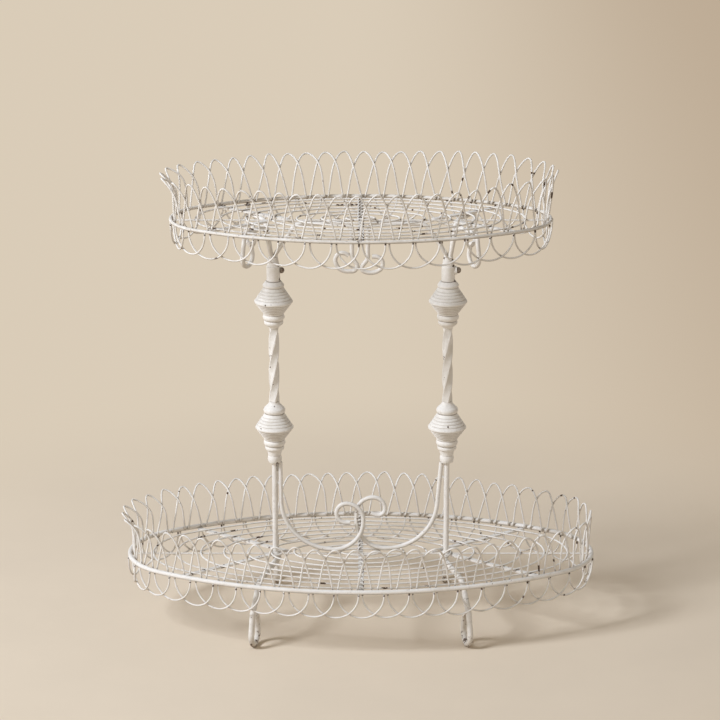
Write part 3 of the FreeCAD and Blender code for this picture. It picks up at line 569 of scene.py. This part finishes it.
def chalk_paint(name, patch, chip, chip_level, grain, relief, hollow=0.006, underside_shade=0.0, weathered=0.0,
                knocked=False):
    """Aged off-white paint with painted shade in hollows and on faces that look down, dirt in the hollows,
    chips down to the iron and rust round them.
    """
    paint = bpy.context.scene.stand_paint
    finish = Finish(name)
    grains = finish.noise(grain, roughness=0.6)
    # Painted shade: hollows, corners and faces that look down are darkened towards the shade colour; in the
    # hollows this also stands for dirt.
    grime_and_shade = finish.math("MAXIMUM", hollow_shade_mask(finish, hollow), underside_shade_mask(finish, underside_shade))
    surface = finish.mix(grime_and_shade, aged_paint(finish, patch, grains, weathered), tuple(paint.shade_and_grime_colour))

    mark = finish.add("ShaderNodeAttribute", attribute_name="bare").outputs["Fac"]
    flakes = finish.noise(chip, detail=4, roughness=0.6)
    worn = finish.math("ADD", flakes, finish.math("MULTIPLY", mark, BARE_WEAR))
    worn = finish.math("ADD", worn, ground_wear(finish))
    chips = finish.step(worn, low=chip_level, high=chip_level + CHIP_EDGE)
    if knocked:
        chips = finish.math("MAXIMUM", chips, knocks(finish))
    stain = finish.step(worn, low=chip_level - STAIN_REACH, high=chip_level + 0.01, to_high=0.75)
    rusty = finish.noise(chip * 1.7, detail=2)
    metal = finish.mix(rusty, tuple(paint.iron_colour), tuple(paint.rust_colour))
    stained = finish.mix(stain, surface, tuple(paint.rust_colour))
    finish.set(Base_Color=finish.mix(chips, stained, metal))

    smooth, dull = paint.paint_roughness - 0.08, paint.paint_roughness + 0.12
    matt = finish.step(grains, low=0.3, high=0.7, to_low=smooth, to_high=dull)
    finish.set(Roughness=finish.math("MAXIMUM", matt, finish.math("MULTIPLY", chips, 0.82)))
    coat = finish.bump(finish.math("SUBTRACT", 1.0, chips), COAT_DEPTH, strength=0.9)
    brushed = finish.bump(grains, relief, strength=0.8, normal=coat)
    finish.set(Normal=finish.bump(finish.noise(patch * 6), relief * 3, strength=0.8, normal=brushed))
    finish.set(Specular_IOR_Level=0.35)
    return finish.material


def worn_steel(name):
    """Worn metal that is rusty in places."""
    paint = bpy.context.scene.stand_paint
    finish = Finish(name)
    rust = finish.step(finish.noise(420, detail=4, roughness=0.65), low=0.42, high=0.62)
    finish.set(Base_Color=finish.mix(rust, tuple(paint.steel_colour), tuple(paint.rust_colour)))
    finish.set(Metallic=finish.step(rust, low=0.2, high=0.9, to_low=0.3, to_high=0.1))
    finish.set(Roughness=finish.step(rust, low=0, high=1, to_low=0.42, to_high=0.85))
    pits = finish.noise(900, detail=4, roughness=0.65)
    finish.set(Normal=finish.bump(pits, 0.00015, strength=0.8))
    return finish.material


def finish_named(name):
    """The finish of that name, made at its first use."""
    made = bpy.data.materials.get(name)
    if made:
        return made
    if name in PAINTS:
        return chalk_paint(name, **PAINTS[name])
    return worn_steel(name)


# Fence

HOOP_FOOT_GAP = 0.0003  # between a hoop's foot and the rim
HOOP_SHOULDER = 0.19  # half width of a hoop's round top, as a share of the pitch
HOOP_TUCK = 1.8  # how much more a hoop heads for its top than away from its foot at a crossing
LEG_HANDLES = (0.36, 0.3)  # of the curve from foot to crossing, as shares of its length
CROWN_HANDLE = 0.45  # of the curve from crossing to top, likewise
LEG_POINTS = 12
CROWN_POINTS = 14
NUDGE = 0.001  # a short way along the rim, which gives its direction


def wire_radius():
    return bpy.context.scene.stand_wires.wire_diameter / 2


def hoop_knots(tray, number):
    """Feet, crossings and top of one fence hoop, as distances along the rim, offsets and heights."""
    pitch = tray.oval.perimeter / tray.hoops
    middle = tray.hoop_middle(number)
    half_span = pitch - tray.hoop_leg_gap / 2
    inset = -(tray.rim_radius + wire_radius() + HOOP_FOOT_GAP)
    feet = []
    crosses = []
    for sign, crossing in ((-1, number - 1), (1, number)):
        stood = tray.strayed(f"foot {sign}", number, tray.hoops, HOOP_FOOT_STRAY)
        feet.append((middle + sign * half_span + stood.x, inset, tray.level - tray.rim_radius / 4))
        bent = tray.strayed("crossing", crossing, tray.hoops, HOOP_CROSSING_STRAY)
        crosses.append((middle + sign * pitch / 2 + bent.x,
                        inset + tray.hoop_lean + sign * WEAVE + bent.y,
                        tray.level + CROSS_HEIGHT + bent.z))
    right, front = tray.rightness(middle), tray.frontness(middle)
    upright = max(tray.right_upright * right, tray.front_upright * front)
    flare = math.tan(tray.hoop_flare * (1 - upright))
    out = inset + tray.hoop_lean + (tray.hoop_height - CROSS_HEIGHT) * flare
    height = tray.hoop_height + tray.right_lift * right + tray.front_lift * front
    bent = tray.strayed("top", number, tray.hoops, HOOP_TOP_STRAY)
    top = (middle + bent.x, out + bent.y, tray.level + height + bent.z)
    return feet[0], crosses[0], top, crosses[1], feet[1]


def hoop_path(tray, number):
    """Smooth line of one fence hoop, from foot to foot."""
    knots = hoop_knots(tray, number)
    left, left_cross, top, right_cross, right = [tray.oval.at(*knot) for knot in knots]
    top_distance, top_offset, top_height = knots[2]
    along = tray.oval.at(top_distance + NUDGE, top_offset, top_height) - top
    along.normalize()
    reach = tray.oval.perimeter / tray.hoops * HOOP_SHOULDER
    halves = []
    for foot, cross, sign in ((left, left_cross, -1), (right, right_cross, 1)):
        shoulder = top + along * sign * reach
        heading = (cross - foot).normalized() + (shoulder - cross).normalized() * HOOP_TUCK
        heading.normalize()
        leave = foot.lerp(cross, LEG_HANDLES[0])
        arrive = cross - heading * (cross - foot).length * LEG_HANDLES[1]
        leg = interpolate_bezier(foot, leave, arrive, cross, LEG_POINTS)
        rise = cross + heading * (top - cross).length * CROWN_HANDLE
        crown = interpolate_bezier(cross, rise, shoulder, top, CROWN_POINTS)
        halves.append(leg + crown[1:])
    return halves[0] + halves[1][-2::-1]


def hoop_chips(tray, number):
    """Bare spans of one hoop, longer and on more hoops towards the right-hand end."""
    right = tray.rightness(tray.hoop_middle(number))
    chance = 0.14 + 0.3 * right
    longest = 0.015 + 0.06 * right
    draw = random.Random(f"{tray.tier} chip {number}")
    if draw.random() >= chance:
        return []
    start = draw.uniform(0.03, 0.95)
    return [(start, start + draw.uniform(0.003, longest))]


def bend_fence(tray):
    wires = Wires()
    for number in range(tray.hoops):
        outward = tray.oval.outward(tray.hoop_middle(number))
        wires.add(hoop_path(tray, number), wire_radius(), outward, bare=hoop_chips(tray, number))
    return wires.piece(f"{tray.tier}_fence")


# Skirt

LOOP_END_GAP = 0.0001  # between a loop's ends and the rim
LOOP_BULGE = 0.0012  # how far a loop swings out past its ends
LOOP_POINTS = 16
ROUND_HANDLE = 0.5523  # handle of a quarter circle, as a share of its radius


def loop_ends(tray, number):
    """Tops of one skirt loop, left and right, just under the rim."""
    pitch = tray.oval.perimeter / tray.loops
    half_span = pitch - LOOP_LEG_GAP / 2
    drop = math.sqrt(tray.rim_radius ** 2 - (LOOP_TILT - wire_radius()) ** 2)
    ends = []
    for sign in (-1, 1):
        hung = tray.strayed(f"loop end {sign}", number, tray.loops, LOOP_END_STRAY)
        distance = tray.front + pitch * number + sign * half_span + hung.x
        ends.append(tray.oval.at(distance, sign * LOOP_TILT, tray.level - drop - LOOP_END_GAP))
    return ends


def loop_path(tray, number, outward):
    """Smooth line of one skirt loop, from end to end."""
    left, right = loop_ends(tray, number)
    along = (right - left).normalized()
    half = (right - left).length / 2
    bent = tray.strayed("loop bottom", number, tray.loops, LOOP_BOTTOM_STRAY)
    bottom = (left + right) / 2 + along * bent.x + outward * bent.y
    bottom.z = tray.level - tray.loop_depth + wire_radius() + bent.z
    halves = []
    for end, sign in ((left, -1), (right, 1)):
        hang = end + UP * (bottom.z - end.z) * ROUND_HANDLE + along * sign * LOOP_BULGE
        sweep = bottom + along * sign * half * ROUND_HANDLE
        halves.append(interpolate_bezier(end, hang, sweep, bottom, LOOP_POINTS))
    return halves[0] + halves[1][-2::-1]


def loop_chips(tray, number):
    """Bare spans of one loop: both ends, and now and then one between them."""
    draw = random.Random(f"{tray.tier} loop chip {number}")
    longest_end = 0.03
    chips = [(0, draw.uniform(0, longest_end)), (1 - draw.uniform(0, longest_end), 1)]
    chance = 0.12
    if draw.random() < chance:
        start = draw.uniform(0.1, 0.85)
        chips.append((start, start + draw.uniform(0.006, 0.03)))
    return chips


def bend_skirt(tray):
    wires = Wires()
    pitch = tray.oval.perimeter / tray.loops
    for number in range(tray.loops):
        outward = tray.oval.outward(tray.front + pitch * number)
        wires.add(loop_path(tray, number, outward), wire_radius(), outward, bare=loop_chips(tray, number))
    return wires.piece(f"{tray.tier}_skirt")


# Floor

RING_POINTS = 120
RING_WAVERS_PER_METRE = 11
RING_ASIDE = 0.9  # share of the hand bend that a floor wire strays sideways
RING_RISE = 0.35  # share that it strays upwards
RISE_SHIFT = Vector((17.3, 9.1, 4.7))  # lets it waver upwards in another way than sideways
RING_WEAR = 0.8  # how bare its chips are
BINDING_SHARE = 0.62  # thickness of the binding wire as a share of the floor wires'
BINDING_SEAT = 0.6  # how far its middle lies off the spine, as a share of its radius
BINDING_POINTS = 16  # in one turn


def ring_path(tray, number):
    """One floor wire, an oval inside the rim that wavers a little."""
    stray = bpy.context.scene.stand_wires.hand_bend
    half_length = tray.inner_ring + (tray.oval.half_length - tray.inner_ring) * number / tray.rings
    oval = tray.oval.scaled(half_length / tray.oval.half_length)
    own_waver = Vector((number * 3.1, 0, tray.level * 50))
    points = []
    for step in range(RING_POINTS):
        distance = oval.perimeter * step / RING_POINTS
        spot = oval.at(distance, 0, tray.level)
        waver = spot * RING_WAVERS_PER_METRE + own_waver
        aside = noise.noise(waver) * stray * RING_ASIDE
        rise = noise.noise(waver + RISE_SHIFT) * stray * RING_RISE
        points.append(oval.at(distance, aside, tray.level + rise))
    return points


def ring_chips(tray, number):
    """Short bare spans of one floor wire, more of them further out."""
    draw = random.Random(f"{tray.tier} ring chip {number}")
    longest = 0.010
    chips = []
    for mark in range(tray.floor_chips + number // 2):
        start = draw.random()
        chips.append((start, start + draw.uniform(0.0, longest)))
    return chips


def lay_floor(tray):
    wires = Wires()
    for number in range(tray.rings):
        chips = ring_chips(tray, number)
        wires.add(ring_path(tray, number), wire_radius(), UP, closed=True, bare=chips, wear=RING_WEAR)
    return wires.piece(f"{tray.tier}_floor_wires")


def binding_path(tray, radius, sign):
    """Line wound round the cross spine, one turn over each floor wire, from the middle to one end."""
    low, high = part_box(f"{tray.tier}_cross_spine")
    aside = (high.x - low.x) / 2 + radius * BINDING_SEAT
    over, under = tray.level + wire_radius() + radius, low.z - radius * BINDING_SEAT
    first = tray.oval.half_width * tray.inner_ring / tray.oval.half_length
    pitch = (tray.oval.half_width - first) / tray.rings
    path = []
    for step in range(BINDING_POINTS * tray.rings + 1):
        turn = step / BINDING_POINTS - 0.5
        angle = 2 * math.pi * turn
        height = (over + under) / 2 + math.cos(angle) * (over - under) / 2
        path.append(Vector((aside * math.sin(angle), sign * (first + pitch * turn), height)))
    return path


def binding_dark_spans(tray, end):
    """Spans of a binding drawn dark as bare iron, one in each turn, on its right-hand side."""
    draw = random.Random(f"{tray.tier} {end} binding chip")
    longest = 0.22
    chips = []
    for number in range(tray.rings):
        start = (number + draw.uniform(0.66, 0.76)) / tray.rings
        chips.append((start, start + draw.uniform(0, longest) / tray.rings))
    return chips


def bind_spine(tray):
    wires = Wires()
    radius = wire_radius() * BINDING_SHARE
    for end, sign in ENDS.items():
        path = binding_path(tray, radius, sign)
        wires.add(path, radius, Vector((0, 1, 0)), bare=binding_dark_spans(tray, end))
    return wires.piece(f"{tray.tier}_spine_binding")


# Welds. Their sizes are shares of the bead radius, unless they are lengths

FOOT_WELD_SEAT = 0.5  # how far a foot's bead lies towards the rim
FOOT_WELD_RISE = 0.0006  # how far it lies above the foot, a length
FOOT_WELD_DEPTH = 0.94  # its depth as a share of its width
FOOT_WELD_HEIGHTS = (1.25, 1.9)  # its least and greatest height, likewise
LOOP_WELD_WIDTH = 0.72
LOOP_WELD_HEIGHTS = (0.7, 1.1)
LOOP_WELD_DROP = 0.0004  # how far a loop's bead hangs below the loop's end, a length
BARE_LOOP_WELDS = 0.62  # share of the loop beads that is bare, at the middle of a tray
BARE_LOOP_SLOPE = 0.6  # how much that share falls from the middle to the left-hand end
BARE_LOOP_LIMIT = 0.2  # how far to the right it goes on rising, as a share of the half length
FLOOR_WELD_SIZES = (1.15, 0.62, 1.05)  # the last along the bar
FLOOR_WELD_DROP = 0.38  # how far a floor bead lies below the middle of the wire, as a share of the wire
# The dark bare floor beads are partly rust at the welds and partly painted shadow along the bars.
DARK_FLOOR_WELDS = 0.6  # share of the floor beads that is bare
BAR_START = 0.016  # length at the start of a bar that has no welds
COLLAR_FILLET = 0.6  # size of the fillet at a ferrule as a share of the one at a plate
ARM_ROOTS = ((-0.0036, 0), (0.0036, -0.004), (0.0036, 0.004))  # out from the post, and back
ARM_WELD_RADIUS = 0.0046
ARM_WELD_HEIGHT = 0.0022
ARM_WELD_GAIN = 0.2  # share of the fillet width that is added to that height
ARM_WELD_RISE = 0.0004


def bareness(draw, share):
    """1 for the share of all draws, and else 0."""
    return 1.0 if draw.random() < share else 0.0


def weld_hoop_feet(welds, tray):
    """Beads that hold the feet of the hoops against the inside of the rim."""
    size = bpy.context.scene.stand_wires.bead_radius
    wide = size * tray.foot_weld
    for number in range(tray.hoops):
        knots = hoop_knots(tray, number)
        for distance, offset, height in (knots[0], knots[4]):
            draw = random.Random(f"{tray.tier} foot weld {distance:.4f}")
            radii = (wide, wide * FOOT_WELD_DEPTH, wide * draw.uniform(*FOOT_WELD_HEIGHTS))
            spot = tray.oval.at(distance, offset + size * FOOT_WELD_SEAT, height + FOOT_WELD_RISE)
            welds.bead(spot, radii, worn=bareness(draw, tray.bare_feet))


def weld_loop_ends(welds, tray):
    """Beads that hold the loops under the rim, with few bare ones at the left-hand end."""
    size = bpy.context.scene.stand_wires.bead_radius
    wide = size * LOOP_WELD_WIDTH
    for number in range(tray.loops):
        for end in loop_ends(tray, number):
            draw = random.Random(f"{tray.tier} loop weld {end.x:.4f} {end.y:.4f}")
            radii = (wide, wide, size * draw.uniform(*LOOP_WELD_HEIGHTS))
            place = min(end.x / tray.oval.half_length, BARE_LOOP_LIMIT)
            bare_share = BARE_LOOP_WELDS + BARE_LOOP_SLOPE * place
            welds.bead(end - UP * LOOP_WELD_DROP, radii, worn=bareness(draw, bare_share))


def weld_rim(tray):
    welds = Welds()
    weld_hoop_feet(welds, tray)
    weld_loop_ends(welds, tray)
    return welds.piece(f"{tray.tier}_rim_welds")


def bar_lines():
    """Start and direction of the spines and diagonal bars, in plan."""
    lines = [(Vector((0, 0)), Vector((0, 1))), (Vector((0, 0)), Vector((0, -1)))]
    for sign in SIDES.values():
        post = Vector((sign * POST_X, 0))
        lines.append((Vector((0, 0)), Vector((sign, 0))))
        lines.append((post, Vector((sign * math.cos(BAR_ANGLE), -math.sin(BAR_ANGLE)))))
        backward = Vector((sign * math.cos(BAR_ANGLE), math.sin(BAR_ANGLE)))
        aside = Vector((-sign * math.sin(BAR_ANGLE), math.cos(BAR_ANGLE))) * BAR_ASIDE
        lines.append((post + aside, backward))
    return lines


def crossings(path, start, direction):
    """Where a closed floor wire passes over the line of a bar."""
    spots = []
    for here, there in zip(path, path[1:] + path[:1]):
        before = direction.cross(here.xy - start)
        after = direction.cross(there.xy - start)
        ahead = direction.dot(here.xy - start)
        if before * after <= 0 and before != after and ahead > BAR_START:
            spots.append(here.lerp(there, before / (before - after)))
    return spots


def weld_floor(tray):
    """Spots of weld where the floor wires lie on the spines and bars, painted under the bindings."""
    welds = Welds()
    wires = bpy.context.scene.stand_wires
    radii = [wires.bead_radius * share for share in FLOOR_WELD_SIZES]
    for number in range(tray.rings):
        path = ring_path(tray, number)
        for start, direction in bar_lines():
            # Painted shadow along the bars, with rust at the welds: dark bare beads there; the beads on the
            # spines stay painted.
            bare_share = DARK_FLOOR_WELDS if direction.x else 0
            for spot in crossings(path, start, direction):
                draw = random.Random(f"{tray.tier} floor weld {spot.x:.4f} {spot.y:.4f}")
                below = spot - UP * wires.wire_diameter * FLOOR_WELD_DROP
                run = Vector((direction.x, direction.y, 0))
                welds.bead(below, radii, axis=run, worn=bareness(draw, bare_share))
    return welds.piece(f"{tray.tier}_floor_welds")


def weld_post(side, sign):
    """Fillets where a post rod stands on its plate and where it enters its ferrule."""
    welds = Welds()
    width = bpy.context.scene.stand_wires.fillet_width
    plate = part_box(f"{side}_base_plate")[1].z
    welds.fillet(Vector((sign * POST_X, 0, plate)), UP, POST_RADIUS, width)
    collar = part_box(f"{side}_ferrule")[0].z
    welds.fillet(Vector((sign * POST_X, 0, collar)), -UP, POST_RADIUS, width * COLLAR_FILLET)
    return welds.piece(f"{side}_post_welds")


def weld_arms(side, sign):
    """Beads where the three arms grow out of the cone."""
    welds = Welds()
    height = ARM_WELD_HEIGHT + bpy.context.scene.stand_wires.fillet_width * ARM_WELD_GAIN
    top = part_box(f"{side}_stem")[1].z
    for out, back in ARM_ROOTS:
        spot = Vector((sign * (POST_X + out), back, top + ARM_WELD_RISE))
        welds.bead(spot, (ARM_WELD_RADIUS, ARM_WELD_RADIUS, height))
    return welds.piece(f"{side}_arm_welds")


# Stage

FLOOR_REACH = 30  # half the length of the floor's edge
FLOOR_SHADE = 0.965  # tone of the floor's darker patches as a share of its colour
KEY_PLACE = Vector((-4.3, -2.2, 4.3))
KEY_AIM = Vector((0.05, 0, 0.35))
KEY_DIAMETER = 1.7
KEY_TINT = (0.84, 0.90, 1)
FILL_TINT = (1, 0.93, 0.84, 1)
OVERHEAD_SHARE = 0.23  # of the fill light that comes from straight above


def studio_floor_finish(stage):
    """Pale floor that takes shadows near the stand; further off it glows with painted light, brighter on
    the key light's side.
    """
    finish = Finish("studio_floor")
    worn_tone = [channel * FLOOR_SHADE for channel in stage.floor_colour[:3]] + [1]
    mottle = finish.step(finish.noise(3.2, detail=5, roughness=0.6), low=0.3, high=0.7)
    finish.set(Base_Color=finish.mix(mottle, tuple(worn_tone), tuple(stage.floor_colour)))
    finish.set(Roughness=0.9)
    finish.set(Specular_IOR_Level=0.1)

    # Painted light: the far floor glows, from the bright tone on the key light's side to the dim tone on
    # the other, and only camera rays and reflections see the glow.
    across = finish.step(finish.parts(finish.coordinates)["X"], low=-0.1, high=1.3)
    glow = finish.add("ShaderNodeEmission")
    finish.wire(finish.mix(across, tuple(stage.bright_tone), tuple(stage.dim_tone)), glow.inputs["Color"])
    rays = finish.add("ShaderNodeLightPath").outputs
    mirrored = finish.math("MAXIMUM", rays["Is Glossy Ray"], rays["Is Transmission Ray"])
    seen = finish.math("MAXIMUM", rays["Is Camera Ray"], mirrored)
    away = finish.add("ShaderNodeVectorMath", operation="LENGTH")
    finish.wire(finish.coordinates, away.inputs[0])
    far = finish.step(away.outputs["Value"], low=0.5, high=1.35)
    blend = finish.add("ShaderNodeMixShader")
    finish.wire(finish.math("MULTIPLY", seen, far), blend.inputs["Fac"])
    finish.wire(finish.shader.outputs["BSDF"], blend.inputs[1])
    finish.wire(glow.outputs["Emission"], blend.inputs[2])
    finish.wire(blend.outputs["Shader"], finish.tree.nodes["Material Output"].inputs["Surface"])
    return finish.material


def lay_studio_floor(stage):
    form = bmesh.new()
    bmesh.ops.create_grid(form, x_segments=8, y_segments=8, size=FLOOR_REACH)
    mesh = bpy.data.meshes.new("studio_floor")
    form.to_mesh(mesh)
    form.free()
    mesh.materials.append(studio_floor_finish(stage))
    floor = bpy.data.objects.new("studio_floor", mesh)
    bpy.context.scene.collection.objects.link(floor)


def hang_key_light(stage):
    lamp = bpy.data.lights.new("key_light", "AREA")
    lamp.shape = "DISK"
    lamp.size = KEY_DIAMETER
    lamp.energy = stage.key_power
    lamp.color = KEY_TINT
    key = bpy.data.objects.new("key_light", lamp)
    key.location = KEY_PLACE
    key.rotation_euler = (KEY_AIM - KEY_PLACE).to_track_quat("-Z", "Y").to_euler()
    bpy.context.scene.collection.objects.link(key)


def light_all_round(stage):
    """Warm even light that is strongest near the horizon and falls off overhead."""
    world = bpy.data.worlds.new("studio_light")
    world.use_nodes = True
    tree = world.node_tree
    background = tree.nodes["Background"]
    background.inputs["Color"].default_value = FILL_TINT
    direction = tree.nodes.new("ShaderNodeSeparateXYZ")
    tree.links.new(tree.nodes.new("ShaderNodeTexCoord").outputs["Generated"], direction.inputs["Vector"])
    falloff = tree.nodes.new("ShaderNodeMapRange")
    falloff.inputs["To Min"].default_value = stage.fill_strength
    falloff.inputs["To Max"].default_value = stage.fill_strength * OVERHEAD_SHARE
    tree.links.new(direction.outputs["Z"], falloff.inputs["Value"])
    tree.links.new(falloff.outputs["Result"], background.inputs["Strength"])
    bpy.context.scene.world = world


def set_camera(stage):
    lens = bpy.data.cameras.new("camera")
    lens.lens = stage.camera_lens
    lens.sensor_width = 36
    lens.clip_end = 100
    camera = bpy.data.objects.new("camera", lens)
    tilt = stage.camera_tilt
    back = Vector((0, -math.cos(tilt), math.sin(tilt)))
    camera.location = Vector(stage.view_centre) + back * stage.camera_distance
    camera.rotation_euler = (math.pi / 2 - tilt, 0, 0)
    bpy.context.scene.collection.objects.link(camera)
    bpy.context.scene.camera = camera


# Operators

class STAND_OT_stage(bpy.types.Operator):
    """Set the pale floor, the soft light and the camera"""

    bl_idname = "stand.stage"
    bl_label = "Set Stage"

    def execute(self, context):
        stage = context.scene.stand_stage
        context.scene.view_settings.view_transform = "Standard"
        lay_studio_floor(stage)
        hang_key_light(stage)
        light_all_round(stage)
        set_camera(stage)
        return {"FINISHED"}


class STAND_OT_rods(bpy.types.Operator):
    """Paint the rims, spines, bars, post rods, braces, legs and arms"""

    bl_idname = "stand.rods"
    bl_label = "Paint Rods"

    def execute(self, context):
        rods = ["lower_rim"]
        weathered = ["upper_rim"]
        for tray in TRAYS:
            rods += [f"{tray.tier}_{part}" for part in ("long_spine", "cross_spine")]
            bars = [f"{tray.tier}_{end}_bars" for end in ENDS]
            dress(bars, finish_named("chalk_paint_on_bar"))
        for side in SIDES:
            rods += [f"{side}_post_rod", f"{side}_scroll_brace", f"{side}_inner_arm", f"{side}_base_plate"]
            for end in ENDS:
                rods.append(f"{end}_{side}_arm")
                weathered.append(f"{end}_{side}_leg")
        dress(rods, finish_named("chalk_paint_on_rod"))
        dress(weathered, finish_named("weathered_paint_on_rod"))
        return {"FINISHED"}


class STAND_OT_castings(bpy.types.Operator):
    """Paint the knobs, ferrules, twisted bars, sockets and stems"""

    bl_idname = "stand.castings"
    bl_label = "Paint Castings"

    def execute(self, context):
        for side in SIDES:
            dress([f"{side}_twisted_bar"], finish_named("chalk_paint_on_twist"))
            dress([f"{side}_{part}" for part in ("ferrule", "lower_knob", "upper_knob", "socket", "stem")],
                  finish_named("chalk_paint_on_casting"))
        return {"FINISHED"}


class STAND_OT_screws(bpy.types.Operator):
    """Finish the worn set screws"""

    bl_idname = "stand.screws"
    bl_label = "Finish Set Screws"

    def execute(self, context):
        dress([f"{side}_set_screw" for side in SIDES], finish_named("worn_screw_steel"))
        return {"FINISHED"}


class STAND_OT_fences(bpy.types.Operator):
    """Bend the hoops of both fences"""

    bl_idname = "stand.fences"
    bl_label = "Bend Fences"

    def execute(self, context):
        make_for_trays(bend_fence, stands_for="gallery_hoops")
        return {"FINISHED"}


class STAND_OT_skirts(bpy.types.Operator):
    """Bend the hanging loops of both skirts"""

    bl_idname = "stand.skirts"
    bl_label = "Bend Skirts"

    def execute(self, context):
        make_for_trays(bend_skirt, stands_for="skirt_loops")
        return {"FINISHED"}


class STAND_OT_floors(bpy.types.Operator):
    """Lay the floor wires of both trays"""

    bl_idname = "stand.floors"
    bl_label = "Lay Floor Wires"

    def execute(self, context):
        make_for_trays(lay_floor, stands_for="floor_rings")
        return {"FINISHED"}


class STAND_OT_bindings(bpy.types.Operator):
    """Wind the binding wires round the cross spines"""

    bl_idname = "stand.bindings"
    bl_label = "Bind Cross Spines"

    def execute(self, context):
        make_for_trays(bind_spine)
        return {"FINISHED"}


class STAND_OT_rim_welds(bpy.types.Operator):
    """Weld the hoops and loops to the rims"""

    bl_idname = "stand.rim_welds"
    bl_label = "Weld Rims"

    def execute(self, context):
        make_for_trays(weld_rim)
        return {"FINISHED"}


class STAND_OT_floor_welds(bpy.types.Operator):
    """Weld the floor wires to the spines and bars"""

    bl_idname = "stand.floor_welds"
    bl_label = "Weld Floors"

    def execute(self, context):
        make_for_trays(weld_floor)
        return {"FINISHED"}


class STAND_OT_post_welds(bpy.types.Operator):
    """Weld the posts to their plates and ferrules, and the arms to their cones"""

    bl_idname = "stand.post_welds"
    bl_label = "Weld Posts"

    def execute(self, context):
        for side, sign in SIDES.items():
            finish_piece(weld_post(side, sign), "stand", finish_named("chalk_paint_on_rod"))
            finish_piece(weld_arms(side, sign), "upper_tier", finish_named("chalk_paint_on_rod"))
        return {"FINISHED"}


OPERATORS = (
    STAND_OT_stage, STAND_OT_rods, STAND_OT_castings, STAND_OT_screws, STAND_OT_fences, STAND_OT_skirts,
    STAND_OT_floors, STAND_OT_bindings, STAND_OT_rim_welds, STAND_OT_floor_welds, STAND_OT_post_welds)
SETTINGS = {
    "stand_paint": StandPaintSettings,
    "stand_wires": StandWireSettings,
    "stand_stage": StandStageSettings,
}


class STAND_PT_panel(bpy.types.Panel):
    """Settings and pieces of the plant stand"""

    bl_idname = "STAND_PT_panel"
    bl_label = "Plant Stand"
    bl_space_type = "VIEW_3D"
    bl_region_type = "UI"
    bl_category = "Plant Stand"

    def draw(self, context):
        for name, group in SETTINGS.items():
            box = self.layout.box()
            for setting in group.__annotations__:
                box.prop(getattr(context.scene, name), setting)
        for operator in OPERATORS:
            self.layout.operator(operator.bl_idname)


CLASSES = (*SETTINGS.values(), *OPERATORS, STAND_PT_panel)


def register():
    for kind in CLASSES:
        bpy.utils.register_class(kind)
    for name, group in SETTINGS.items():
        setattr(bpy.types.Scene, name, PointerProperty(type=group))


def unregister():
    for name in SETTINGS:
        delattr(bpy.types.Scene, name)
    for kind in reversed(CLASSES):
        bpy.utils.unregister_class(kind)


def main():
    register()
    for operator in OPERATORS:
        group, name = operator.bl_idname.split(".")
        getattr(getattr(bpy.ops, group), name)()


if __name__ == "__main__":
    main()
